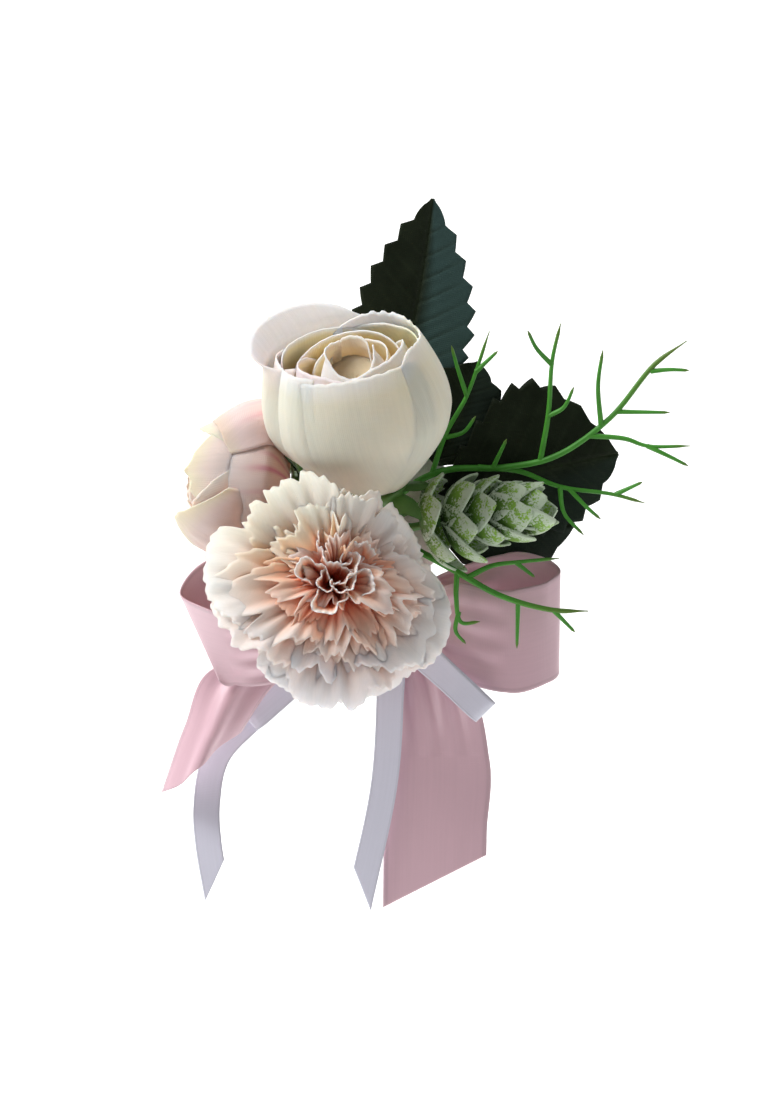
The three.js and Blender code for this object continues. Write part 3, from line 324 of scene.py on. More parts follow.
def moulded_plastic(node, root, tip, vein_mm):
    """Injection-moulded polyethylene: waxy, half glossy and slightly see-through, darker towards the tips."""
    along = node("ShaderNodeAttribute", attribute_name="along", out="Fac")
    place = node("ShaderNodeTexCoord", out="Object")
    cloud = node("ShaderNodeTexNoise", {"Vector": place, "Scale": noise_scale(vein_mm), "Detail": 3.0})
    paler = shaded(root, 1.35, 0.01)
    base = node("ShaderNodeValToRGB", {0: cloud}, stops=[(0.3, root), (0.75, paler)])
    ending = node("ShaderNodeMapRange", {"Value": along, "From Min": 0.78, "From Max": 1.0, "To Max": 0.75})
    ended = node("ShaderNodeMix", {MIX_FACTOR: ending, MIX_A: base, MIX_B: rgba(tip)}, data_type="RGBA", out=MIX_COLOUR)
    # Moulding grain about 0.6 mm across
    grain = node("ShaderNodeTexNoise", {"Vector": place, "Scale": noise_scale(0.6)})
    bump = node("ShaderNodeBump", {"Height": grain, "Strength": 0.25, "Distance": 0.0001})
    return node("ShaderNodeBsdfPrincipled", {
        "Base Color": ended, "Roughness": 0.5, "IOR": 1.51, "Subsurface Weight": 0.1,
        "Subsurface Radius": (0.5, 1.0, 0.3), "Subsurface Scale": 0.001, "Normal": bump})


def frosted_scale(node):
    """Moulded polyethylene scales dusted with frosting powder: waxy green under a grainy pale crust at the edges."""
    tone = colours()
    along = node("ShaderNodeAttribute", attribute_name="along", out="Fac")
    # The green is painted near black at the roots as painted shade under the scales around them, and turns yellow-green
    # at the tips
    green = node("ShaderNodeValToRGB", {0: along}, stops=[
        (0.1, tone.hop_root_shade), (0.5, "#557d2f"), (0.9, tone.hop)])
    place = node("ShaderNodeTexCoord", out="Object")
    # Frost lies in patches about 2.5 mm across, of grains about 0.5 mm
    drift = node("ShaderNodeTexNoise", {"Vector": place, "Scale": noise_scale(2.5), "Detail": 2.0})
    grain = node("ShaderNodeTexNoise", {"Vector": place, "Scale": noise_scale(0.5), "Detail": 2.0})
    edge = node("ShaderNodeAttribute", attribute_name="tint", out="Fac")
    laid = node("ShaderNodeMath", {0: drift, 1: edge}, operation="ADD")
    crumbled = node("ShaderNodeMath", {0: grain, 1: 1.2, 2: laid}, operation="MULTIPLY_ADD")
    crust = node("ShaderNodeMapRange", {"Value": crumbled, "From Min": 1.24, "From Max": 1.42, "To Max": 0.9})
    coloured = node("ShaderNodeMix", {
        MIX_FACTOR: crust, MIX_A: green, MIX_B: rgba(tone.frost)}, data_type="RGBA", out=MIX_COLOUR)
    rough = node("ShaderNodeMapRange", {"Value": crust, "To Min": 0.5, "To Max": 0.9})
    raised = node("ShaderNodeMath", {0: crust, 1: grain}, operation="MULTIPLY")
    bump = node("ShaderNodeBump", {"Height": raised, "Strength": 0.6, "Distance": 0.00025})
    return node("ShaderNodeBsdfPrincipled", {
        "Base Color": coloured, "Roughness": rough, "IOR": 1.51, "Specular IOR Level": 0.3, "Normal": bump})


def satin_ribbon(node, colour, width_mm, selvedge_mm):
    """Woven polyester satin: long floats give a soft, stretched gloss, and a firm selvedge runs along both edges."""
    place = node("ShaderNodeTexCoord", out="UV")
    across = node("ShaderNodeSeparateXYZ", {"Vector": place})
    far = node("ShaderNodeMath", {0: across}, operation="ABSOLUTE")
    edge = node("ShaderNodeMapRange", {
        "Value": far, "From Min": (width_mm / 2 - selvedge_mm) / UV_MM,
        "From Max": (width_mm / 2 - selvedge_mm * 0.7) / UV_MM})
    # Drawn threads of uneven lustre, about 0.6 mm wide and 25 mm long
    drawn = node("ShaderNodeMapping", {"Vector": place, "Scale": (UV_MM / 0.6, UV_MM / 25, 1)})
    slub = node("ShaderNodeTexNoise", {"Vector": drawn, "Scale": 1.0, "Detail": 3.0})
    darker = shaded(colour, 0.965)
    lustre = node("ShaderNodeValToRGB", {0: slub}, stops=[(0.3, darker), (0.7, colour)])
    firm = node("ShaderNodeMix", {
        MIX_FACTOR: edge, MIX_A: lustre, MIX_B: rgba(shaded(colour, 0.86))}, data_type="RGBA", out=MIX_COLOUR)
    # Picks stand about 0.15 mm apart: drawn at 0.4 mm so that they show
    pick = node("ShaderNodeTexWave", {"Vector": place, "Scale": wave_scale(0.4)}, bands_direction="Y", out="Fac")
    relief = node("ShaderNodeMath", {0: edge, 1: 4.0, 2: pick}, operation="MULTIPLY_ADD")
    bump = node("ShaderNodeBump", {"Height": relief, "Strength": 0.18, "Distance": 0.00006})
    rough = node("ShaderNodeMapRange", {"Value": slub, "To Min": 0.29, "To Max": 0.36})
    lie = node("ShaderNodeTangent", direction_type="UV_MAP", uv_map="cloth")
    return node("ShaderNodeBsdfPrincipled", {
        "Base Color": firm, "Roughness": rough, "IOR": 1.5, "Anisotropic": 0.5, "Sheen Weight": 0.25,
        "Sheen Roughness": 0.35, "Specular IOR Level": 0.75, "Tangent": lie, "Normal": bump})


def wool_felt(node):
    """Pressed acrylic felt: matt and fuzzy, with tangled fibres and no weave."""
    tone = colours()
    place = node("ShaderNodeTexCoord", out="Object")
    # Fibre tangle about 0.5 mm across
    tangle = node("ShaderNodeTexNoise", {"Vector": place, "Scale": noise_scale(0.5), "Detail": 5.0, "Distortion": 1.5})
    cloud = node("ShaderNodeTexNoise", {"Vector": place, "Scale": noise_scale(5)})
    blend = node("ShaderNodeMath", {0: tangle, 1: 0.6, 2: cloud}, operation="MULTIPLY_ADD")
    base = node("ShaderNodeValToRGB", {0: blend}, stops=[(0.5, shaded(tone.felt, 0.8)), (1.0, tone.felt)])
    bump = node("ShaderNodeBump", {"Height": tangle, "Strength": 0.7, "Distance": 0.0003})
    return node("ShaderNodeBsdfPrincipled", {
        "Base Color": base, "Roughness": 0.95, "IOR": 1.5, "Specular IOR Level": 0.2, "Sheen Weight": 0.4,
        "Sheen Roughness": 0.6, "Normal": bump})


def crepe_tape(node):
    """Waxed crepe-paper florist's tape: dull and crinkled across, with the same slight shine all over."""
    tone = colours()
    place = node("ShaderNodeTexCoord", out="UV")
    # Crepe wrinkles about 0.5 mm apart
    drawn = node("ShaderNodeMapping", {"Vector": place, "Scale": (UV_MM / 0.5, UV_MM / 4, 1)})
    crepe = node("ShaderNodeTexNoise", {"Vector": drawn, "Scale": 1.0, "Detail": 4.0})
    base = node("ShaderNodeValToRGB", {0: crepe}, stops=[(0.3, shaded(tone.tape, 0.72)), (0.7, tone.tape)])
    bump = node("ShaderNodeBump", {"Height": crepe, "Strength": 0.6, "Distance": 0.0002})
    return node("ShaderNodeBsdfPrincipled", {"Base Color": base, "Roughness": 0.62, "IOR": 1.45, "Normal": bump})


def nickel_plate(node):
    """Stamped steel under bright nickel plate: mirror-like, with fine drawing lines and a slight haze."""
    tone = colours()
    place = node("ShaderNodeTexCoord", out="Object")
    # Drawing lines about 0.15 mm wide and 6 mm long, along the bar
    drawn = node("ShaderNodeMapping", {"Vector": place, "Scale": (1 / (6 * MM), 1 / (0.15 * MM), 1 / (0.15 * MM))})
    lines = node("ShaderNodeTexNoise", {"Vector": drawn, "Scale": 1.0})
    haze = node("ShaderNodeTexNoise", {"Vector": place, "Scale": noise_scale(4)})
    tint = node("ShaderNodeValToRGB", {0: haze}, stops=[(0.3, shaded(tone.steel, 0.85)), (0.7, tone.steel)])
    rough = node("ShaderNodeMapRange", {"Value": lines, "To Min": 0.16, "To Max": 0.36})
    return node("ShaderNodeBsdfPrincipled", {"Base Color": tint, "Metallic": 1.0, "Roughness": rough})


def white_card(node):
    """Matt white background card, with the faintest tooth."""
    tone = colours()
    place = node("ShaderNodeTexCoord", out="Object")
    tooth = node("ShaderNodeTexNoise", {"Vector": place, "Scale": noise_scale(8)})
    base = node("ShaderNodeValToRGB", {0: tooth}, stops=[(0.0, shaded(tone.floor, 0.98)), (1.0, tone.floor)])
    return node("ShaderNodeBsdfPrincipled", {
        "Base Color": base, "Roughness": 0.95, "Specular IOR Level": 0.1, "Emission Color": rgba(tone.floor),
        "Emission Strength": 0.55})


# Shapes


def unit(vector):
    vector = np.asarray(vector, float)
    return vector / np.linalg.norm(vector)


def standing(origin, axis):
    """A frame whose third direction runs along an axis, with its first kept level to the right, or upwards."""
    up = unit(axis)
    spare = np.array((0.0, 0.0, 1.0)) if abs(up[0]) > 0.9 else np.array((1.0, 0.0, 0.0))
    level = unit(spare - up * spare.dot(up))
    return np.asarray(origin, float), np.stack([level, np.cross(up, level), up])


def placed(stand, x, y, z):
    """Local coordinates of a frame as points of the corsage."""
    origin, directions = stand
    return origin + np.stack(np.broadcast_arrays(x, y, z), -1) @ directions


def curve_point(points, t):
    """Points at 0 to 1 along a smooth curve through a list of points."""
    points = np.asarray(points, float)
    last = len(points) - 1
    padded = np.vstack([2 * points[0] - points[1], points, 2 * points[-1] - points[-2]])
    place = np.clip(np.asarray(t, float), 0, 1) * last
    index = np.minimum(place.astype(int), last - 1)
    weight = (place - index)[..., None]
    p0, p1, p2, p3 = (padded[index + k] for k in range(4))
    step = [np.maximum(np.linalg.norm(b - a, axis=-1, keepdims=True), 1e-8) ** 0.5
            for a, b in ((p0, p1), (p1, p2), (p2, p3))]
    step[1] = np.where(step[1] < 1e-3, 1.0, step[1])
    step[0] = np.where(step[0] < 1e-3, step[1], step[0])
    step[2] = np.where(step[2] < 1e-3, step[1], step[2])
    leave = ((p1 - p0) / step[0] - (p2 - p0) / (step[0] + step[1]) + (p2 - p1) / step[1]) * step[1]
    reach = ((p2 - p1) / step[1] - (p3 - p1) / (step[1] + step[2]) + (p3 - p2) / step[2]) * step[1]
    cubic = 2 * p1 - 2 * p2 + leave + reach
    square = -3 * p1 + 3 * p2 - 2 * leave - reach
    return ((cubic * weight + square) * weight + leave) * weight + p1


def normals_of(points):
    """Directions square to a grid of points."""
    along, across = np.gradient(points, axis=(0, 1))
    square = np.cross(across, along)
    return square / np.maximum(np.linalg.norm(square, axis=-1, keepdims=True), 1e-9)


def flat_uv(points):
    """Distances over a grid of points, across from its middle column and along from its first row."""
    columns = points.shape[1]
    steps = np.linalg.norm(np.diff(points, axis=1), axis=-1)
    across = np.concatenate([np.zeros((len(points), 1)), np.cumsum(steps, 1)], 1)
    across = across - across[:, columns // 2:columns // 2 + 1]
    middle = np.linalg.norm(np.diff(points[:, columns // 2], axis=0), axis=-1)
    along = np.concatenate([[0.0], np.cumsum(middle)])[:, None] * np.ones((1, columns))
    return np.stack([across, along], -1) / UV_MM


def patch(points, uv=None, ring=False, cloth=0, **values):
    """One grid of points in millimetres, with its flat coordinates, its cloth and its painted values."""
    uv = flat_uv(points) if uv is None else uv
    return {"points": points, "uv": uv, "ring": ring, "cloth": cloth, "values": values}


PAINTED = ("along", "flush", "tint")


def mesh_of(name, patches, merge=False):
    """One mesh of quads over all the patches, in metres, smooth, with a flat map and painted values."""
    points, faces, uvs, cloths = [], [], [], []
    painted = {key: [] for key in PAINTED}
    start = 0
    for item in patches:
        rows, columns = item["points"].shape[:2]
        spans = columns if item["ring"] else columns - 1
        row, column = (a.ravel() for a in np.meshgrid(np.arange(rows - 1), np.arange(spans), indexing="ij"))
        corner_rows = np.stack([row, row, row + 1, row + 1], 1)
        corner_columns = np.stack([column, column + 1, column + 1, column], 1)
        faces.append(start + corner_rows * columns + corner_columns % columns)
        uvs.append(item["uv"][corner_rows, corner_columns % item["uv"].shape[1]].reshape(-1, 2))
        points.append(item["points"].reshape(-1, 3))
        cloths += [item["cloth"]] * len(row)
        for key in PAINTED:
            value = np.broadcast_to(item["values"].get(key, 0.0), (rows, columns))
            painted[key].append(value.ravel())
        start += rows * columns
    mesh = bpy.data.meshes.new(name)
    mesh.from_pydata((np.concatenate(points) * MM).tolist(), [], np.concatenate(faces).tolist())
    mesh.uv_layers.new(name="cloth").data.foreach_set("uv", np.concatenate(uvs).ravel())
    mesh.polygons.foreach_set("material_index", cloths)
    for key in PAINTED:
        mesh.attributes.new(key, "FLOAT", "POINT").data.foreach_set("value", np.concatenate(painted[key]))
    if merge:
        merged(mesh)
    mesh.shade_smooth()
    mesh.update()
    return mesh


def merged(mesh):
    """Joins a mesh's doubled points and turns its faces outwards."""
    work = bmesh.new()
    work.from_mesh(mesh)
    bmesh.ops.remove_doubles(work, verts=work.verts, dist=1e-6)
    bmesh.ops.recalc_face_normals(work, faces=work.faces)
    work.to_mesh(mesh)
    work.free()


def dress(name, mesh, materials, slot, nodes, thick=0.0, smooth=0, body=BODY):
    """Puts a mesh into the scene as a piece that rides on a body and stands for its solids."""
    piece = bpy.data.objects.new(name, mesh)
    bpy.context.scene.collection.objects.link(piece)
    held = [face.material_index for face in mesh.polygons]
    mesh.materials.clear()
    for material in materials:
        mesh.materials.append(material)
    mesh.polygons.foreach_set("material_index", [min(k, len(materials) - 1) for k in held])
    if smooth:
        rounding = piece.modifiers.new("Rounding", "SUBSURF")
        rounding.levels = rounding.render_levels = smooth
    if thick:
        wall = piece.modifiers.new("Cloth", "SOLIDIFY")
        wall.thickness = thick
        wall.offset = 0
        wall.material_offset = min(1, len(materials) - 1)
    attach(piece, body)
    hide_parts(*nodes)
    return piece


def sew(name, patches, materials, slot, merge=False, ending="_cloth", **fitting):
    """Sews patches into the piece that stands for one solid."""
    piece_name = name + ending
    return dress(piece_name, mesh_of(piece_name, patches, merge), materials, slot, [name], **fitting)


def refined(node, suffix, material, slot, body=BODY, angle=60):
    """A merged, smooth copy of a solid whose shape is right, in its own material."""
    mesh = bpy.data.objects[node].data.copy()
    merged(mesh)
    mesh.shade_smooth()
    mesh.set_sharp_from_angle(angle=math.radians(angle))
    return dress(node + suffix, mesh, [material], slot, [node], body=body)


def reach_and_height(profile):
    """The two values of a profile's points, each as a column."""
    return (np.array(values, float)[:, None] for values in zip(*profile))


def span(columns, rows):
    """Places across a grid from -1 to 1, and along it from 0 to 1."""
    return np.linspace(-1, 1, columns)[None, :], np.linspace(0, 1, rows)[:, None]


def once_round(count):
    """Angles of a closed ring."""
    return np.linspace(0, 2 * math.pi, count, endpoint=False)[None, :]


def about(stand, radius, angle, height, squash=1):
    """Points at a distance from a frame's third direction, nearer to it on two sides if it is squashed."""
    return placed(stand, radius * np.cos(angle), squash * radius * np.sin(angle), height)


def creases(rng, s, v, count, low, high):
    """Uneven lengthwise creases over a petal, from -1 to 1, that wander a little along it."""
    total = np.zeros(np.broadcast(s, v).shape)
    for _ in range(count):
        pitch = rng.uniform(low, high)
        phase = rng.uniform(0, 2 * math.pi)
        drift = rng.uniform(-1.5, 1.5)
        total = total + np.sin(pitch * s + phase + drift * v) * rng.uniform(0.4, 1)
    return total / count


def egg_radius(t, belly_at, foot, belly, rim):
    """Radius of an egg-shaped form at 0 to 1 of its height."""
    low = foot + (belly - foot) * np.sin(np.clip(t / belly_at, 0, 1) * math.pi / 2)
    fall = np.clip((t - belly_at) / (1 - belly_at), 0, 1)
    return np.where(t < belly_at, low, belly - (belly - rim) * fall ** 2)


# What a petal is like unless it says otherwise, in millimetres, degrees and shares. It may rise above or fade from its
# form, flare and roll at its rim, be ragged or pleated, lap over or under its neighbours, and be narrower at its foot.
PETAL = {"rise": 0, "flare": 0, "roll": 0.8, "points": (), "ragged": 0.35, "pleat": 0, "pleats": 9, "lap_from": 0,
         "lap_to": 0, "foot_width": 0.72, "from_top": 1, "rounding": 3, "fade": 0, "tuck": 0.55, "belly_at": 0.55}


def lapped_petal(stand, shape, rng):
    """One petal on an egg-shaped form, lapped at its sides, creased lengthwise, with its rim rolled outwards."""
    s, v = span(45, 45)
    length, start, turn = shape["length"], shape["start"], shape["turn"]
    foot_width = shape["foot_width"]
    widening = (np.where(s < 0, shape["from_top"], 1) - foot_width) * np.sin(v * math.pi / 2)
    lean = s * shape["span"] / 2 * (foot_width + widening)
    kept = 1 - shape["fade"] * tapered(s, 0.55, 1.0)
    top = length * (1 - shape["corner"] * kept * np.abs(s) ** shape["rounding"]) + shape["rise"] * kept
    for place, reach, width in shape["points"]:
        top = top + reach * np.exp(-((s - place) / width) ** 2)
    top = top + shape["ragged"] * creases(rng, s, v * 0, 5, 6, 40)
    height = start + (top - start) * v
    egg = egg_radius(np.minimum(1, height / length), *(shape[key] for key in ("belly_at", "foot", "belly", "rim")))
    lap = np.where(lean < 0, shape["lap_from"], shape["lap_to"]) * np.abs(lean) / shape["pitch"]
    bend = np.clip((v - 0.78) / 0.22, 0, 1) ** 2
    roll = shape["roll"] * kept
    lap = lap - shape["tuck"] * tapered(np.abs(s), 0.65, 1.0)
    radius = egg + lap + kept * shape["flare"] * v ** 5 + roll * bend + 0.3 * np.sin(5 * s + turn) * v ** 3
    pressed = sizes().crease_depth / MM * creases(rng, s, v, 6, 5, 26)
    pleated = shape["pleat"] * np.cos(shape["pleats"] * math.pi * s)
    radius = radius + (pressed + pleated) * np.sin(math.pi * np.clip(v, 0.05, 0.95))
    angle = np.radians(turn + lean)
    rolled = height - 0.35 * roll * bend
    return about(stand, radius, angle, rolled, BUD_SQUASH), s, v


def petal_patch(stand, form, seed, cloth=0, blush=(0, 0, 1), lime=(0, 0, 1), wash=0, streaks=(), **own):
    """One petal with its dye: blush and lime have an amount, a place across the rim and a width.

    A wash lies over the whole petal; a streak has an amount, a place across, a width and how far up it reaches.
    """
    points, s, v = lapped_petal(stand, {**PETAL, **form, **own}, np.random.default_rng(seed))
    rim = tapered(v, 0.72, 1.0)
    spots = [amount * rim * np.exp(-((s - place) / width) ** 2) for amount, place, width in (blush, lime)]
    drawn = wash + spots[0]
    for amount, place, width, reach in streaks:
        drawn = drawn + amount * np.exp(-((s - place + 0.15 * v) / width) ** 2) * (1 - tapered(v, 0.3 * reach, reach))
    return patch(points, cloth=cloth, along=v + 0 * s, flush=np.minimum(1, drawn), tint=spots[1])


def tapered(x, low, high):
    """A smooth step from 0 to 1."""
    t = np.clip((x - low) / (high - low), 0, 1)
    return t * t * (3 - 2 * t)


# Operators


class CORSAGE_OT_stage(bpy.types.Operator):
    """Lay the floor, hang the lights and set the camera"""

    bl_idname = "corsage.stage"
    bl_label = "Stage"

    def execute(self, context):
        scene = context.scene
        scene.view_settings.view_transform = "Standard"
        profile = [(y, FLOOR_Z) for y in np.linspace(FLOOR_FRONT, SWEEP_START, 13)]
        profile += [(SWEEP_START + SWEEP_RADIUS * math.sin(bend), FLOOR_Z + SWEEP_RADIUS * (1 - math.cos(bend)))
                    for bend in np.linspace(0, math.pi / 2, 12)[1:]]
        profile += [(SWEEP_START + SWEEP_RADIUS, z) for z in np.linspace(100, WALL_TOP, 12)]
        across = np.linspace(-STAGE_HALF_WIDTH, STAGE_HALF_WIDTH, 9)
        points = np.array([[(x, y, z) for x in across] for y, z in profile])
        sweep = bpy.data.objects.new("stage_sweep", mesh_of("stage_sweep", [patch(points)]))
        scene.collection.objects.link(sweep)
        sweep.data.materials.append(new_material("Matt white card", white_card))

        world = bpy.data.worlds.new("Soft white room")
        world.use_nodes = True
        room = world.node_tree.nodes["Background"]
        room.inputs["Color"].default_value = (1, 1, 1, 1)
        # The room looks pale behind the corsage but lights it only a little
        tree = world.node_tree
        seen = add_node(tree, "ShaderNodeLightPath")
        level = add_node(tree, "ShaderNodeMapRange", {"Value": seen, "To Min": ROOM_LIGHT, "To Max": ROOM_SEEN})
        tree.links.new(level, room.inputs["Strength"])
        scene.world = world
        for name, place, size, power in LIGHTS:
            lamp = bpy.data.lights.new(name, "AREA")
            lamp.size = size
            lamp.energy = power
            holder = bpy.data.objects.new(name, lamp)
            holder.location = place
            holder.rotation_euler = (Vector(LIGHT_AIM) - Vector(place)).to_track_quat("-Z", "Y").to_euler()
            scene.collection.objects.link(holder)

        lens = bpy.data.cameras.new("camera")
        lens.lens = LENS
        lens.clip_start = 0.01
        camera = bpy.data.objects.new("camera", lens)
        back = Vector((0, -math.cos(CAMERA_TILT), math.sin(CAMERA_TILT)))
        camera.location = Vector(LOOK_AT) + CAMERA_AWAY * back
        camera.rotation_euler = (math.pi / 2 - CAMERA_TILT, 0, 0)
        scene.collection.objects.link(camera)
        scene.camera = camera
        return {"FINISHED"}


class CORSAGE_OT_brooch(bpy.types.Operator):
    """Finish the bar, rivet, needle and turning catch of the brooch back"""

    bl_idname = "corsage.brooch"
    bl_label = "Brooch back"

    def execute(self, context):
        nickel = new_material("Nickel-plated steel", nickel_plate)
        for node, body in (("brooch_bar", BODY), ("hinge_rivet", BODY), ("pin_stem", "pin"), ("catch_roller", "catch")):
            piece = refined(node, "_plated", nickel, "nickel_steel", body, 32)
            edge = piece.modifiers.new("Rolled edge", "BEVEL")
            edge.width = PLATE_EDGE
            edge.segments = 2
            edge.limit_method = "ANGLE"
            edge.angle_limit = math.radians(40)
        return {"FINISHED"}


class CORSAGE_OT_pad(bpy.types.Operator):
    """Cut the felt pad behind the flowers"""

    bl_idname = "corsage.pad"
    bl_label = "Felt pad"

    def execute(self, context):
        rng = np.random.default_rng(11)
        angle = once_round(120)
        # One face from its middle to its soft edge, as radius and depth, then the same for the other face
        face = [(0, 0), (6, 0), (13, 0), (18, 0), (PAD_RADIUS - 0.5, 0.05), (PAD_RADIUS - 0.12, 0.4)]
        profile = [(reach, PAD_BACK - depth) for reach, depth in face] + [(PAD_RADIUS, PAD_BACK - 1)]
        profile += [(reach, PAD_FRONT + depth) for reach, depth in reversed(face)]
        reach, depth = reach_and_height(profile)
        snip = 0.12 * creases(rng, angle, 0.0, 6, 3, 30)
        radius = reach + snip * (reach / PAD_RADIUS) ** 4
        nap = 0.04 * np.sin(reach * 2.1 + 3 * angle) * (reach > 0)
        points = np.stack([radius * np.cos(angle), depth + nap * (reach < PAD_RADIUS - 1), radius * np.sin(angle)], -1)
        uv = np.stack([points[..., 0], points[..., 2]], -1) / UV_MM
        felt = new_material("Pressed acrylic felt", wool_felt)
        piece = sew("felt_pad", [patch(points, uv, ring=True)], [felt], "felt", merge=True)
        return {"FINISHED"}


class CORSAGE_OT_stems(bpy.types.Operator):
    """Wind the tape round the bundle and coat its stems"""

    bl_idname = "corsage.stems"
    bl_label = "Stems and tape"

    def execute(self, context):
        green = new_material("Polyethylene-coated wire", moulded_plastic, linear("#4b7a38"), "#4b7a38", 3)
        for node in ("rose_stem", "bud_stem", "carnation_stem", "hop_stem", "leaf_stalk_upper", "leaf_stalk_side"):
            refined(node, "_coated", green, "green_stem")
        angle = once_round(64)
        height = np.linspace(WRAP_BOTTOM, WRAP_TOP, 240)[:, None]
        step = sizes().tape_step / MM
        turn = ((height - WRAP_BOTTOM) / step - angle / (2 * math.pi)) % 1
        lap = 0.32 * turn * (1 - tapered(turn, 0.86, 1.0))
        radius = WRAP_RADIUS - WRAP_WALL / 2 - 0.1 + lap + 0.05 * np.sin(9 * angle + height)
        points = np.stack([radius * np.cos(angle), BUNDLE_Y + radius * np.sin(angle), height + 0 * angle], -1)
        around = np.concatenate([angle, angle[:, :1] + 2 * math.pi], 1)
        uv = np.stack(np.broadcast_arrays(height, around * WRAP_RADIUS), -1) / UV_MM
        tape = new_material("Waxed crepe paper tape", crepe_tape)
        sew("tape_wrap", [patch(points, uv, ring=True)], [tape], "florist_tape", ending="_wound", thick=WRAP_WALL * MM)
        return {"FINISHED"}


def calyx_patches(stand, foot, length, sepals, reach, first, hold):
    """A calyx cup with pointed sepals, the first at a given turn, that hold the petals or hang away from them."""
    lip = foot * 0.9
    waist = foot * 0.62
    profile = [(0, -length), (1.5, -length), (1.8, -length + 0.3), (waist * 0.8, -length * 0.75)]
    profile += [(waist, -length * 0.55), (foot * 0.78, -length * 0.36), (lip, -1.6), (lip, -0.5), (lip - 0.3, -0.3)]
    profile += [(0, -0.3)]
    angle = once_round(48)
    cup, height = reach_and_height(profile)
    radius = cup * (1 + 0.03 * np.cos(10 * angle))
    patches = [patch(about(stand, radius, angle, height), ring=True)]
    for k in range(sepals):
        turn = 2 * math.pi * k / sepals + first
        s, v = span(13, 25)
        out = waist + (reach + 1.5) * v
        half = 2.9 * np.sin(math.pi * (0.24 + 0.74 * v)) + 0.05
        side = s * half
        rise = hold * v ** 2 - 1.75 - 0.12 * side ** 2 - 0.12 * np.exp(-(side / 0.35) ** 2)
        x = out * np.cos(turn) - side * np.sin(turn)
        y = out * np.sin(turn) + side * np.cos(turn)
        blade = placed(stand, x, BUD_SQUASH * y, rise)
        face = normals_of(blade)
        patches.append(patch(blade + 0.16 * face, along=0.6 * v + 0 * s))
        patches.append(patch((blade - 0.16 * face)[:, ::-1], along=0.6 * v + 0 * s))
    return patches


